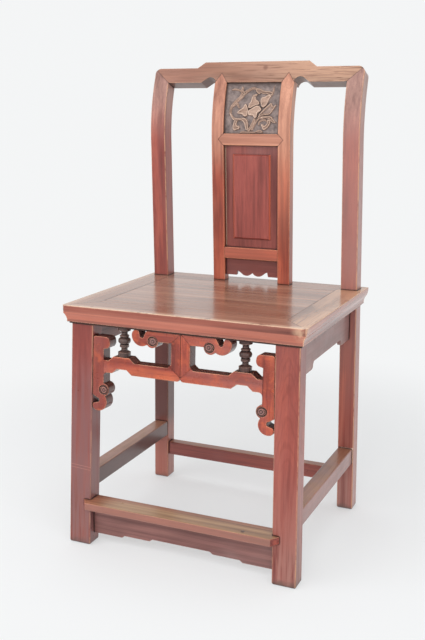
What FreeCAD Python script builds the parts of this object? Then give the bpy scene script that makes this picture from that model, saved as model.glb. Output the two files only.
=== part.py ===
"""Side chair of frame-and-panel joinery with a carved splat, in millimetres.

+Z is up, +X is to the right as seen from the front, and the chair faces -Y.
The origin lies on the floor under the middle of the chair. Every piece of wood is
a separate solid; tenons enter their mortises with a small named clearance.
"""
import FreeCAD, Part
import math
import os

import Sketcher

# Driving dimensions. Heights of the back are measured from the seat's top, heights of the
# fretwork from the seat frame's underside, everything else from the floor or the piece itself.
SIZES = {
    # seat frame
    "seat_height": 490.0,
    "seat_thickness": 36.8,
    "seat_width": 498.0,
    "seat_depth": 414.5,
    "seat_front": 197.65,
    "front_rail_width": 70.0,
    "back_rail_width": 67.0,
    "side_rail_width": 55.0,
    "edge_round": 1.5,
    "edge_band": 15.5,
    "edge_band_inset": 2.2,
    "edge_band_radius": 45.0,
    "edge_cove_inset": 7.4,
    "edge_cove_radius": 30.0,
    "edge_fillet": 4.6,
    "edge_quirk_depth": 3.4,
    "edge_quirk_height": 3.2,
    "seat_corner": 9.0,
    "seat_panel_thickness": 14.0,
    "seat_panel_tongue": 6.0,
    "seat_panel_gap": 0.4,
    "seat_tongue_thickness": 6.0,
    "seat_brace_width": 42.0,
    "seat_brace_height": 14.0,
    "seat_brace_tenon": 18.0,
    "frame_tenon_width": 13.0,
    "frame_tenon_inset": 3.0,
    "frame_tenon_cover": 14.0,
    "frame_tenon_low": 9.0,
    "frame_tenon_below_panel": 2.8,
    # front legs
    "leg_width": 47.4,
    "leg_depth": 35.7,
    "leg_inset": 14.65,
    "leg_setback": 13.4,
    "leg_splay_out": 8.1,
    "leg_splay_front": 23.75,
    "leg_round": 2.6,
    "leg_tenon_width": 15.0,
    "leg_tenon_depth": 18.0,
    "leg_tenon_length": 22.0,
    "leg_tenon_inset": 5.0,
    "leg_tenon_setback": 7.0,
    "foot_round": 4.5,
    # rear posts and the curve of the back
    "post_width": 35.0,
    "post_depth": 34.3,
    "post_side_cover": 4.9,
    "post_back_cover": 6.0,
    "post_splay_out": 6.2,
    "post_draw_in": 3.0,
    "post_round": 2.6,
    "back_lean": 2.2,
    "bend_start": 301.0,
    "crest_underside": 422.3,
    "crest_tilt": 19.0,
    # crest rail
    "crest_shoulder": 31.7,
    "crest_rise": 12.5,
    "crest_flat": 232.0,
    "crest_slope": 17.0,
    "crest_corner_radius": 14.0,
    "crest_arch_start": 33.0,
    "crest_arch_run": 12.0,
    "crest_arch_height": 8.5,
    "crest_arch_end": 2.5,
    "crest_arch_radius": 13.0,
    "crest_tenon_width": 12.0,
    "crest_tenon_depth": 12.0,
    "crest_tenon_length": 24.0,
    "crest_tenon_inset": 6.0,
    # splat
    "splat_width": 176.0,
    "stile_width": 26.5,
    "stile_depth": 21.7,
    "stile_point": 19.0,
    "stile_tenon_width": 14.0,
    "stile_tenon_depth": 10.0,
    "stile_tenon_length": 16.0,
    "stile_tenon_setback": 6.0,
    "mid_rail_low": 293.0,
    "mid_rail_height": 24.0,
    "mid_rail_point": 11.5,
    "lower_rail_low": 50.0,
    "lower_rail_height": 24.0,
    "lower_rail_tenon": 14.0,
    "lower_rail_tenon_height": 14.0,
    "panel_tongue": 5.0,
    "carved_panel_recess": 6.0,
    "carved_panel_thickness": 9.0,
    "raised_panel_recess": 8.5,
    "raised_panel_thickness": 6.5,
    "raised_field_margin": 19.0,
    "raised_field_rise": 4.0,
    "raised_field_bevel": 40.0,
    "splat_apron_height": 38.0,
    "splat_apron_recess": 8.0,
    "splat_apron_thickness": 8.0,
    "scallop_end": 25.0,
    "scallop_notch": 10.0,
    "scallop_notch_run": 2.0,
    "scallop_lobe_start": 26.0,
    "scallop_lobe_rise": 5.0,
    "scallop_cusp": 7.0,
    "scallop_radius": 16.0,
    # front fretwork
    "fret_setback": 2.0,
    "fret_thickness": 26.0,
    "fret_post_width": 19.5,
    "fret_arm_height": 20.0,
    "fret_lower_top": 67.5,
    "fret_lower_height": 24.0,
    "fret_corner_chamfer": 7.0,
    "fret_toe_radius": 7.0,
    "hump_end": 11.0,
    "hump_slope": 11.0,
    "hump_length": 34.0,
    "hump_height": 9.3,
    "hump_underside_shift": 5.5,
    "hump_underside_length": 21.0,
    "bracket_width": 22.5,
    "bracket_top": 21.5,
    "bracket_corner": 5.0,
    "bracket_knob": 13.5,
    "bracket_knob_height": 22.0,
    "bracket_knob_radius": 9.0,
    "bracket_knob_cheek": 12.0,
    "bracket_knob_foot": 4.5,
    "bracket_boss": 127.0,
    "arm_boss": 104.5,
    "scroll_lobe_radius": 13.0,
    "arm_cusp": 10.4,
    "arm_belly_radius": 20.5,
    "bracket_boss_inset": 1.5,
    "bracket_cusp": 12.3,
    "bracket_belly_radius": 19.0,
    "scroll_reach": 43.0,
    "scroll_tip_radius": 11.0,
    "scroll_tip_inset": 4.0,
    "scroll_tip_drop": 3.0,
    "scroll_notch": 21.5,
    "scroll_notch_radius": 4.5,
    "scroll_notch_depth": 11.0,
    "scroll_notch_mouth": 11.0,
    "boss_ring_radius": 9.0,
    "boss_ring_width": 2.2,
    "boss_ring_depth": 1.4,
    # turned balusters
    "baluster_collar": 25.0,
    "baluster_bulb": 24.3,
    "baluster_ring": 18.0,
    "baluster_neck": 12.5,
    "baluster_collar_height": 7.0,
    "baluster_base_height": 9.0,
    "baluster_cone": 3.5,
    "baluster_groove": 1.8,
    "baluster_upper_ring": 2.4,
    "baluster_lower_ring": 4.2,
    "baluster_bulb_height": 12.8,
    "baluster_pin": 7.0,
    "baluster_pin_length": 9.0,
    # aprons under the seat
    "apron_height": 55.7,
    "apron_thickness": 9.0,
    "apron_setback": 11.5,
    "apron_tongue": 6.0,
    "apron_front_bracket": 71.5,
    "apron_rear_bracket": 51.0,
    "apron_bracket_drop": 13.5,
    "apron_ogee": 15.2,
    "rear_apron_setback": 12.0,
    # foot rail and stretchers
    "foot_rail_low": 82.0,
    "foot_rail_thickness": 15.0,
    "foot_rail_lip": 18.0,
    "foot_rail_seat": 29.5,
    "foot_rail_lap": 15.2,
    "foot_rail_bevel": 12.6,
    "foot_rail_tenon": 14.0,
    "foot_rail_tenon_height": 7.0,
    "foot_rail_tenon_depth": 16.0,
    "foot_rail_round": 1.6,
    "foot_apron_low": 21.5,
    "foot_apron_setback": 13.0,
    "foot_apron_thickness": 10.0,
    "foot_apron_step": 4.6,
    "foot_apron_inner_step": 62.0,
    "foot_apron_outer_step": 124.0,
    "foot_apron_slope": 6.0,
    "stretcher_low": 107.0,
    "stretcher_height": 34.0,
    "stretcher_width": 31.0,
    "stretcher_setback": 2.0,
    "stretcher_round": 2.0,
    "stretcher_tenon": 20.0,
    "stretcher_tenon_height": 20.0,
    "stretcher_tenon_width": 11.0,
    "rear_stretcher_low": 58.0,
    "rear_stretcher_height": 31.0,
    "rear_stretcher_depth": 22.0,
    "rear_stretcher_setback": 5.0,
    # fits
    "joint_clearance": 0.15,
}

# How far tools reach past the wood that they cut.
TOOL_REACH = 40.0
LEFT, RIGHT = 1, -1

doc = FreeCAD.newDocument("side_chair")
sheet = doc.addObject("Spreadsheet::Sheet", "sizes")
finished = {}


class Size:
    """A number together with the sheet expression that gives it."""

    def __init__(self, value, text):
        self.value = value
        self.text = text

    def __add__(self, other):
        return joined(self, "+", other, self.value + number(other))

    def __radd__(self, other):
        return joined(other, "+", self, number(other) + self.value)

    def __sub__(self, other):
        return joined(self, "-", other, self.value - number(other))

    def __rsub__(self, other):
        return joined(other, "-", self, number(other) - self.value)

    def __mul__(self, other):
        return joined(self, "*", other, self.value * number(other))

    def __rmul__(self, other):
        return joined(other, "*", self, number(other) * self.value)

    def __truediv__(self, other):
        return joined(self, "/", other, self.value / number(other))

    def __neg__(self):
        return Size(-self.value, "(0 - %s)" % self.text)


class Sheet:
    """The driving dimensions, each as an attribute."""


class Arc:
    """A round side of an outline, from the corner before it to the corner after it."""

    def __init__(self, radius, turn):
        self.radius = radius
        self.turn = turn


class Frame:
    """A place with the part's X axis, tilted about it."""

    def __init__(self, y, z, tilt, x=0.0):
        self.x = x
        self.y = y
        self.z = z
        self.tilt = tilt

    def world(self, x, y, z):
        """The part's own coordinates of a point given in this frame."""
        turned_y = y * cosine(self.tilt) - z * sine(self.tilt)
        turned_z = y * sine(self.tilt) + z * cosine(self.tilt)
        return x, self.y + turned_y, self.z + turned_z


def number(item):
    return item.value if isinstance(item, Size) else float(item)


def text(item):
    return item.text if isinstance(item, Size) else repr(float(item))


def joined(first, sign, second, value):
    return Size(value, "(%s %s %s)" % (text(first), sign, text(second)))


def sine(angle):
    return Size(math.sin(math.radians(number(angle))), "sin(%s)" % text(angle))


def cosine(angle):
    return Size(math.cos(math.radians(number(angle))), "cos(%s)" % text(angle))


def tangent(angle):
    return sine(angle) / cosine(angle)


def slope_angle(rise):
    return Size(math.degrees(math.atan(number(rise))), "(atan(%s) / 1 deg)" % text(rise))


def root(square):
    return Size(math.sqrt(number(square)), "sqrt(%s)" % text(square))


def load_sizes():
    """Fill the sheet and hand back the dimensions."""
    sizes = Sheet()
    for row, (alias, value) in enumerate(SIZES.items(), start=1):
        sheet.set("A%d" % row, alias)
        sheet.set("B%d" % row, str(value))
        sheet.setAlias("B%d" % row, alias)
        setattr(sizes, alias, Size(value, "sizes.%s" % alias))
    doc.recompute()
    return sizes


def bind(item, path, size):
    """Tie one property of an object to the sheet."""
    item.setExpression(path, text(size))


def place(item, frame):
    """Put an object into a tilted frame."""
    item.Placement = FreeCAD.Placement(
        FreeCAD.Vector(number(frame.x), number(frame.y), number(frame.z)),
        FreeCAD.Rotation(FreeCAD.Vector(1, 0, 0), number(frame.tilt)),
    )
    for axis, size in zip("xyz", (frame.x, frame.y, frame.z)):
        bind(item, "Placement.Base.%s" % axis, size)
    bind(item, "Placement.Rotation.Angle", frame.tilt)


def arc_between(start, end, arc):
    """The circular arc of a round side, which takes less than half a turn."""
    radius = number(arc.radius)
    middle = (start + end) * 0.5
    chord = end - start
    across = FreeCAD.Vector(-chord.y, chord.x, 0).normalize() * arc.turn
    centre = middle + across * math.sqrt(radius ** 2 - (chord.Length / 2) ** 2)
    from_angle = math.atan2(start.y - centre.y, start.x - centre.x)
    to_angle = math.atan2(end.y - centre.y, end.x - centre.x)
    if arc.turn == RIGHT:
        from_angle, to_angle = to_angle, from_angle
    if to_angle < from_angle:
        to_angle += 2 * math.pi
    circle = Part.Circle(centre, FreeCAD.Vector(0, 0, 1), radius)
    return Part.ArcOfCircle(circle, from_angle, to_angle)


def new_sketch(body, role, start):
    """An empty sketch on one of the body's planes, moved along the plane's axis to start."""
    sketch = body.newObject("Sketcher::SketchObject", "%s_sketch" % body.Name)
    plane = next(item for item in body.Origin.OriginFeatures if item.Role == role)
    sketch.AttachmentSupport = [(plane, "")]
    sketch.MapMode = "FlatFace"
    bind(sketch, "AttachmentOffset.Base.z", -start if role == "XZ_Plane" else start)
    return sketch


def pin_point(sketch, geometry, end, corner):
    """Hold one end of a side, or the centre of a circle, at its place."""
    for kind, size in (("DistanceX", corner[0]), ("DistanceY", corner[1])):
        index = sketch.addConstraint(Sketcher.Constraint(kind, -1, 1, geometry, end, number(size)))
        bind(sketch, "Constraints[%d]" % index, size)


def pin_radius(sketch, geometry, radius):
    index = sketch.addConstraint(Sketcher.Constraint("Radius", geometry, number(radius)))
    bind(sketch, "Constraints[%d]" % index, radius)


def draw_outline(sketch, outline):
    """Draw a closed outline of corners, with an Arc between two of them for a round side."""
    corners = []
    arcs = {}
    for item in outline:
        if isinstance(item, Arc):
            arcs[len(corners) - 1] = item
        else:
            corners.append(item)
    points = [FreeCAD.Vector(number(x), number(y), 0) for x, y in corners]
    first_ends = []
    for side, start in enumerate(points):
        end = points[(side + 1) % len(points)]
        if side in arcs:
            sketch.addGeometry(arc_between(start, end, arcs[side]), False)
        else:
            sketch.addGeometry(Part.LineSegment(start, end), False)
        first_ends.append(2 if side in arcs and arcs[side].turn == RIGHT else 1)
    for side in range(len(points)):
        following = (side + 1) % len(points)
        ends = (side, 3 - first_ends[side], following, first_ends[following])
        sketch.addConstraint(Sketcher.Constraint("Coincident", *ends))
    for side, corner in enumerate(corners):
        pin_point(sketch, side, first_ends[side], corner)
    for side, arc in arcs.items():
        pin_radius(sketch, side, arc.radius)


def new_body(name, frame=None):
    body = doc.addObject("PartDesign::Body", name)
    if frame:
        place(body, frame)
    return body


def add_pad(body, role, start, depth, outline, lean=None):
    """Pad an outline from start to start + depth along the plane's axis, or along a leaning line."""
    sketch = new_sketch(body, role, start)
    draw_outline(sketch, outline)
    pad = body.newObject("PartDesign::Pad", "%s_pad" % body.Name)
    pad.Profile = sketch
    bind(pad, "Length", depth)
    pad.Reversed = role == "XZ_Plane"
    if lean:
        pad.UseCustomVector = True
        pad.AlongSketchNormal = True
        for axis, size in zip("xyz", lean):
            bind(pad, "Direction.%s" % axis, size)
    doc.recompute()
    return pad


def prism(name, role, start, depth, outline, frame=None, lean=None):
    """A body of one padded outline."""
    body = new_body(name, frame)
    add_pad(body, role, start, depth, outline, lean)
    return body


def round_edges(body, radius, wanted):
    """Round the edges of a body's tip that the test picks."""
    tip = body.Tip
    names = ["Edge%d" % i for i, edge in enumerate(tip.Shape.Edges, start=1) if wanted(edge)]
    rounding = body.newObject("PartDesign::Fillet", "%s_round" % body.Name)
    rounding.Base = (tip, names)
    bind(rounding, "Radius", radius)
    doc.recompute()


def block(name, low, high, frame=None):
    """A box between two corners, in the part's own frame or in a tilted one."""
    box = doc.addObject("Part::Box", name)
    for path, start, end in zip(("Length", "Width", "Height"), low, high):
        bind(box, path, end - start)
    corner = low
    if frame:
        place(box, frame)
        corner = frame.world(*low)
    for axis, size in zip("xyz", corner):
        bind(box, "Placement.Base.%s" % axis, size)
    return box


def joint(name, low, high, frame=None):
    """A tenon and the mortise that takes it, which is larger by the clearance all round."""
    gap = S.joint_clearance
    tenon = block("%s_tenon" % name, low, high, frame)
    mortise = block("%s_mortise" % name, [v - gap for v in low], [v + gap for v in high], frame)
    return tenon, mortise


def cut(name, base, tools):
    """Take every tool out of the base."""
    for index, tool in enumerate(tools):
        result = doc.addObject("Part::Cut", "%s_cut%d" % (name, index))
        result.Base = base
        result.Tool = tool
        base = result
    doc.recompute()
    return base


def fuse(name, pieces):
    result = doc.addObject("Part::MultiFuse", "%s_whole" % name)
    result.Shapes = pieces
    result.Refine = True
    doc.recompute()
    return result


def common(name, first, second):
    result = doc.addObject("Part::Common", "%s_common" % name)
    result.Base = first
    result.Tool = second
    doc.recompute()
    return result


def round_solid(name, base, radius, wanted):
    """Round the edges of a plain shape that the test picks."""
    result = doc.addObject("Part::Fillet", "%s_round" % name)
    result.Base = base
    size = number(radius)
    result.Edges = [(i, size, size) for i, edge in enumerate(base.Shape.Edges, start=1) if wanted(edge)]
    doc.recompute()
    return result


def round_foot(body):
    """Round the bottom edge of a leg."""
    tip = body.Tip
    at_floor = lies_at("Z", 0.0)
    names = ["Edge%d" % i for i, edge in enumerate(tip.Shape.Edges, start=1) if at_floor(edge)]
    rounding = body.newObject("PartDesign::Fillet", "%s_foot" % body.Name)
    rounding.Base = (tip, names)
    bind(rounding, "Radius", S.foot_round)
    doc.recompute()


def finish(name, item):
    """Give a finished piece its node name."""
    item.Label = name
    finished[name] = item


def finish_pair(name, item):
    """Name a piece of the right-hand side and add its mirror image on the left."""
    finish("%s_right" % name, item)
    mirrored = doc.addObject("Part::Mirroring", "%s_left_mirror" % name)
    mirrored.Source = item
    mirrored.Normal = FreeCAD.Vector(1, 0, 0)
    doc.recompute()
    finish("%s_left" % name, mirrored)


def flipped(outline):
    """An outline mirrored left to right, still anticlockwise."""
    return [item if isinstance(item, Arc) else (-item[0], item[1]) for item in reversed(outline)]


def symmetric(half):
    """A closed outline from its right half, listed anticlockwise from the middle line to the middle line."""
    left = flipped(half)
    return half + (left[:-1] if number(half[0][0]) == 0 else left)


def rectangle(low, high):
    return [(low[0], low[1]), (high[0], low[1]), (high[0], high[1]), (low[0], high[1])]


def rounded_rectangle(low, high, radius):
    return [
        (low[0] + radius, low[1]), (high[0] - radius, low[1]), Arc(radius, LEFT),
        (high[0], low[1] + radius), (high[0], high[1] - radius), Arc(radius, LEFT),
        (high[0] - radius, high[1]), (low[0] + radius, high[1]), Arc(radius, LEFT),
        (low[0], high[1] - radius), (low[0], low[1] + radius), Arc(radius, LEFT),
    ]


def rises(edge):
    """True for an edge that runs mostly upwards."""
    ends = edge.Vertexes
    return len(ends) == 2 and abs(ends[0].Z - ends[1].Z) > 0.5 * edge.Length


def lies_at(axis, value):
    """A test for edges that lie in one plane across an axis."""
    def wanted(edge):
        low = getattr(edge.BoundBox, "%sMin" % axis)
        high = getattr(edge.BoundBox, "%sMax" % axis)
        return abs(low - value) < 0.01 and abs(high - value) < 0.01
    return wanted


S = load_sizes()
ZERO = Size(0.0, "0")
ONE = Size(1.0, "1")

# Levels and lines that several pieces share
underside = S.seat_height - S.seat_thickness
seat_middle = S.seat_height - S.seat_thickness / 2
seat_front_y = -S.seat_front
seat_back_y = S.seat_depth - S.seat_front
seat_side_x = S.seat_width / 2
panel_front_y = seat_front_y + S.front_rail_width
panel_back_y = seat_back_y - S.back_rail_width
panel_side_x = seat_side_x - S.side_rail_width
panel_low_z = S.seat_height - S.seat_panel_thickness
leg_face_y = seat_front_y + S.leg_setback
post_side_x = seat_side_x - S.edge_cove_inset - S.post_side_cover
post_back_y = seat_back_y - S.edge_cove_inset - S.post_back_cover
post_front_y = post_back_y - S.post_depth
bend_z = S.seat_height + S.bend_start
crest_z = S.seat_height + S.crest_underside
stile_outer_x = S.splat_width / 2
stile_inner_x = stile_outer_x - S.stile_width
mid_rail_z = S.seat_height + S.mid_rail_low
lower_rail_z = S.seat_height + S.lower_rail_low
apron_low_z = underside - S.apron_height
apron_foot_z = apron_low_z - S.apron_bracket_drop
foot_rail_top_z = S.foot_rail_low + S.foot_rail_thickness


def leg_drop(z):
    """How far down the leg a level is, as a share of its length."""
    return (underside - z) / underside


def leg_front_y(z):
    return leg_face_y - S.leg_splay_front * leg_drop(z)


def leg_back_y(z):
    return leg_front_y(z) + S.leg_depth


def leg_outer_x(z):
    return seat_side_x - S.leg_inset + S.leg_splay_out * leg_drop(z)


def leg_inner_x(z):
    return leg_outer_x(z) - S.leg_width


def rear_outer_x(z):
    """Outer face of the rear leg, below the seat."""
    return post_side_x + S.post_splay_out * ((seat_middle - z) / seat_middle)


def rear_inner_x(z):
    return rear_outer_x(z) - S.post_width


def post_outer_x(z):
    """Outer face of the back post, above the seat."""
    return post_side_x - S.post_draw_in * ((z - seat_middle) / (crest_z - seat_middle))


def post_inner_x(z):
    return post_outer_x(z) - S.post_width


# The back's side line: a straight lean from the seat, an arc, and the straight tilt of the crest
bend_y = post_front_y - tangent(S.back_lean) * (bend_z - seat_middle)
bend_radius = (crest_z - bend_z) / (sine(S.back_lean) + sine(S.crest_tilt))
crest_y = bend_y + bend_radius * (cosine(S.back_lean) - cosine(S.crest_tilt))
lean_frame = Frame(post_front_y, seat_middle, S.back_lean)
crest_frame = Frame(crest_y, crest_z, -S.crest_tilt)
fret_frame = Frame(leg_face_y + S.fret_setback, underside, -slope_angle(S.leg_splay_front / underside))
mitre_inner_x = post_inner_x(crest_z)
mitre_outer_x = post_outer_x(crest_z + S.crest_shoulder)


def lean_height(z):
    """Distance up the leaning back to a level."""
    return (z - seat_middle) / cosine(S.back_lean)


def side_line(offset, top):
    """Corners up the back, at a depth behind its front face: seat, bend, crest and top."""
    seat = (post_front_y + offset, seat_middle)
    bend = (bend_y + offset * cosine(S.back_lean), bend_z + offset * sine(S.back_lean))
    crest = crest_frame.world(ZERO, offset, ZERO)[1:]
    return seat, bend, crest, crest_frame.world(ZERO, offset, top)[1:]


def back_slab(name, front, back, half_width, top):
    """A curved slab across the back, between two depths behind its front face."""
    seat, bend, crest, end = side_line(front, top)
    rising = [seat, bend, Arc(bend_radius - front, RIGHT), crest, end]
    seat, bend, crest, end = side_line(back, top)
    falling = [end, crest, Arc(bend_radius - back, LEFT), bend, seat]
    return prism(name, "YZ_Plane", -half_width, half_width * 2, rising + falling)


def face_prism(name, outline):
    """An outline of the back, seen from the front, carried through its whole depth."""
    return prism(name, "XZ_Plane", ZERO, seat_back_y + TOOL_REACH, outline)


def mirrored_tool(tool):
    """The same tool on the left-hand side."""
    other = doc.addObject("Part::Mirroring", "%s_left" % tool.Name)
    other.Source = tool
    other.Normal = FreeCAD.Vector(1, 0, 0)
    return other


def both_sides(tools):
    return tools + [mirrored_tool(tool) for tool in tools]


def leg_joint():
    """Tenon on top of a front leg, into the front seat rail."""
    x = leg_inner_x(underside) + S.leg_tenon_inset
    y = leg_face_y + S.leg_tenon_setback
    low = (x, y, underside - S.leg_tenon_length)
    high = (x + S.leg_tenon_width, y + S.leg_tenon_depth, underside + S.leg_tenon_length)
    return joint("leg", low, high)


def frame_joint(name, y, out):
    """Tenon of the front or back seat rail, into a side rail."""
    inner = y + S.frame_tenon_inset * out
    outer = y + (S.frame_tenon_inset + S.frame_tenon_width) * out
    near, far = (outer, inner) if out < 0 else (inner, outer)
    low = (panel_side_x - S.side_rail_width / 2, near, underside + S.frame_tenon_low)
    high = (seat_side_x - S.frame_tenon_cover, far, panel_low_z - S.frame_tenon_below_panel)
    return joint(name, low, high)


def post_hole():
    """The square hole in the seat frame that a rear post passes through."""
    gap = S.joint_clearance
    front = post_front_y - tangent(S.back_lean) * (S.seat_height - seat_middle)
    low = (post_inner_x(S.seat_height) - gap, front - gap, underside - TOOL_REACH)
    high = (rear_outer_x(underside) + gap, post_back_y + gap, S.seat_height + TOOL_REACH)
    return block("post_hole", low, high)


def stile_joint():
    """Tenon under a splat stile, into the back seat rail."""
    x = (stile_outer_x + stile_inner_x - S.stile_tenon_width) / 2
    y = post_front_y + S.stile_tenon_setback
    low = (x, y, S.seat_height - S.stile_tenon_length)
    high = (x + S.stile_tenon_width, y + S.stile_tenon_depth, S.seat_height + S.stile_tenon_length)
    return joint("stile", low, high)


def crest_joint():
    """Tenon on top of a back post, into the crest rail's mitred end."""
    x = mitre_inner_x + S.crest_tenon_inset
    y = (S.post_depth - S.crest_tenon_depth) / 2
    low = (x, y, ZERO - S.crest_tenon_length)
    high = (x + S.crest_tenon_width, y + S.crest_tenon_depth, S.crest_tenon_length)
    return joint("crest", low, high, crest_frame)


def stretcher_joint(name, y):
    """Tenon of a side stretcher, into the leg at one of its ends."""
    x = stretcher_outer_x - (S.stretcher_width + S.stretcher_tenon_width) / 2
    z = S.stretcher_low + (S.stretcher_height - S.stretcher_tenon_height) / 2
    low = (x, y - S.stretcher_tenon, z)
    high = (x + S.stretcher_tenon_width, y + S.stretcher_tenon, z + S.stretcher_tenon_height)
    return joint(name, low, high)


def rear_stretcher_joint():
    """Tenon of the rear stretcher, into a rear leg."""
    middle = S.rear_stretcher_low + S.rear_stretcher_height / 2
    x = rear_inner_x(middle)
    y = post_front_y + S.rear_stretcher_setback + S.rear_stretcher_depth / 2
    half_depth = S.stretcher_tenon_width / 2
    half_height = S.stretcher_tenon_height / 2
    low = (x - S.stretcher_tenon, y - half_depth, middle - half_height)
    high = (x + S.stretcher_tenon, y + half_depth, middle + half_height)
    return joint("rear_stretcher", low, high)


def foot_rail_joint():
    """Tenon of the foot rail, into a front leg."""
    middle = S.foot_rail_low + S.foot_rail_thickness / 2
    half = S.foot_rail_tenon_height / 2
    x = leg_inner_x(middle)
    y = leg_front_y(middle) + (S.foot_rail_seat - S.foot_rail_tenon_depth) / 2
    low = (x - S.foot_rail_tenon, y, middle - half)
    high = (x + S.foot_rail_tenon, y + S.foot_rail_tenon_depth, middle + half)
    return joint("foot_rail", low, high)


def lower_rail_joint():
    """Tenon of the splat's lower rail, into a stile."""
    z = lean_height(lower_rail_z) + (S.lower_rail_height - S.lower_rail_tenon_height) / 2
    y = (S.stile_depth - S.stile_tenon_depth) / 2
    low = (stile_inner_x - S.lower_rail_tenon, y, z)
    high = (stile_inner_x + S.lower_rail_tenon, y + S.stile_tenon_depth, z + S.lower_rail_tenon_height)
    return joint("lower_rail", low, high, lean_frame)


def brace_joint():
    """Tenons at both ends of the seat brace, into the front and back rails."""
    half_width = S.seat_brace_width / 3
    z = panel_low_z - S.seat_brace_height
    low = (-half_width, panel_front_y - S.seat_brace_tenon, z + S.seat_brace_height / 4)
    high = (half_width, panel_back_y + S.seat_brace_tenon, panel_low_z - S.seat_brace_height / 4)
    return joint("brace", low, high)


def baluster_pins():
    """Pins at both ends of a baluster, and the holes that take them."""
    gap = S.joint_clearance
    reach = S.baluster_pin_length
    foot = ZERO - S.fret_lower_top + S.hump_height
    pin = fret_pin("baluster_pin", S.baluster_pin, foot - reach, reach)
    hole = fret_pin("baluster_hole", S.baluster_pin + gap * 2, foot - reach - gap, reach + gap)
    return pin, hole


def fret_pin(name, diameter, low, high):
    """A round pin on a baluster's axis between two heights of the fretwork."""
    pin = doc.addObject("Part::Cylinder", name)
    bind(pin, "Radius", diameter / 2)
    bind(pin, "Height", high - low)
    place(pin, fret_frame)
    for axis, size in zip("xyz", fret_frame.world(baluster_x, S.fret_thickness / 2, low)):
        bind(pin, "Placement.Base.%s" % axis, size)
    return pin


def mitre_tool():
    """Takes the upper inner corner off a back post, along the mitre."""
    shoulder = S.crest_shoulder
    outline = [
        (mitre_inner_x, ZERO), (mitre_outer_x, shoulder), (mitre_outer_x, shoulder + TOOL_REACH),
        (mitre_inner_x - TOOL_REACH, shoulder + TOOL_REACH), (mitre_inner_x - TOOL_REACH, ZERO),
    ]
    return prism("mitre", "XZ_Plane", ZERO - TOOL_REACH, S.post_depth + TOOL_REACH * 2, outline, crest_frame)


def corner_tool():
    """Rounds the back's upper corner across post and crest rail."""
    radius = S.crest_corner_radius
    top = S.crest_shoulder
    outline = [
        (mitre_outer_x, top - radius), Arc(radius, LEFT), (mitre_outer_x - radius, top),
        (mitre_outer_x - radius, top + TOOL_REACH), (mitre_outer_x + TOOL_REACH, top + TOOL_REACH),
        (mitre_outer_x + TOOL_REACH, top - radius),
    ]
    return prism("corner", "XZ_Plane", ZERO - TOOL_REACH, S.post_depth + TOOL_REACH * 2, outline, crest_frame)


def seat_corner_tool():
    """Rounds the seat frame's front corner across both rails."""
    radius = S.seat_corner
    outline = [
        (seat_side_x - radius, seat_front_y), Arc(radius, LEFT), (seat_side_x, seat_front_y + radius),
        (seat_side_x + TOOL_REACH, seat_front_y + radius), (seat_side_x + TOOL_REACH, seat_front_y - TOOL_REACH),
        (seat_side_x - radius, seat_front_y - TOOL_REACH),
    ]
    return prism("seat_corner", "XY_Plane", underside - TOOL_REACH, S.seat_thickness + TOOL_REACH * 2, outline)


def front_legs(tools):
    """Splayed square legs, tenoned into the front seat rail."""
    low = (leg_inner_x(ZERO), leg_front_y(ZERO))
    high = (leg_outer_x(ZERO), leg_back_y(ZERO))
    lean = (ZERO - S.leg_splay_out / underside, S.leg_splay_front / underside, ONE)
    section = rounded_rectangle(low, high, S.leg_round)
    leg = prism("front_leg", "XY_Plane", ZERO, underside, section, lean=lean)
    round_foot(leg)
    whole = fuse("front_leg", [leg, leg_tenon])
    finish_pair("front_leg", cut("front_leg", whole, tools))


def rear_posts(tools):
    """Rear leg and back post in one length, mitred to the crest rail."""
    low = (rear_inner_x(ZERO), post_front_y)
    high = (rear_outer_x(ZERO), post_back_y)
    lean = (ZERO - S.post_splay_out / seat_middle, ZERO, ONE)
    section = rounded_rectangle(low, high, S.post_round)
    leg = prism("rear_leg", "XY_Plane", ZERO, seat_middle, section, lean=lean)
    round_foot(leg)

    top = crest_z + S.crest_shoulder
    face = [
        (post_inner_x(seat_middle), seat_middle), (post_outer_x(seat_middle), seat_middle),
        (post_outer_x(top), top), (post_inner_x(top), top),
    ]
    side = back_slab("post_side", ZERO, S.post_depth, seat_side_x, S.crest_shoulder)
    blank = common("back_post", face_prism("post_face", face), side)
    rounded = round_solid("back_post", blank, S.post_round, rises)
    mitred = cut("back_post", rounded, [mitre_cutter, corner_cutter])
    whole = fuse("rear_post", [leg, mitred, crest_tenon])
    finish_pair("rear_post", cut("rear_post", whole, tools))


def crest_rail(tools):
    """Tilted board with a raised middle, two arches in its lower edge and mitred ends."""
    shoulder = S.crest_shoulder
    arch = stile_outer_x + S.crest_arch_start
    half = [
        (stile_outer_x, ZERO),
        (stile_outer_x, S.crest_arch_end),
        Arc(S.crest_arch_radius, RIGHT),
        (arch - S.crest_arch_run, S.crest_arch_height),
        (arch, ZERO),
        (mitre_inner_x, ZERO),
        (mitre_outer_x, shoulder),
        (S.crest_flat / 2 + S.crest_slope, shoulder),
        (S.crest_flat / 2, shoulder + S.crest_rise),
    ]
    board = prism("crest_board", "XZ_Plane", ZERO, S.post_depth, symmetric(half), crest_frame)
    finish("crest_rail", cut("crest_rail", board, tools))


def stile_outline(grow):
    """Front view of a stile with its pointed top, larger all round by grow."""
    middle = (stile_outer_x + stile_inner_x) / 2
    shoulder = crest_z
    return [
        (stile_inner_x - grow, S.seat_height), (stile_outer_x + grow, S.seat_height),
        (stile_outer_x + grow, shoulder), (middle, shoulder + S.stile_point + grow),
        (stile_inner_x - grow, shoulder),
    ]


def splat_stiles(tools):
    """Upright sides of the splat, with points let into the crest rail."""
    top = S.crest_shoulder + S.crest_rise
    slab = back_slab("stile_side", ZERO, S.stile_depth, seat_side_x, top)
    blank = common("stile", face_prism("stile_face", stile_outline(ZERO)), slab)
    whole = fuse("stile", [blank, stile_tenon])
    finish_pair("splat_stile", cut("stile", whole, tools))


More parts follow.
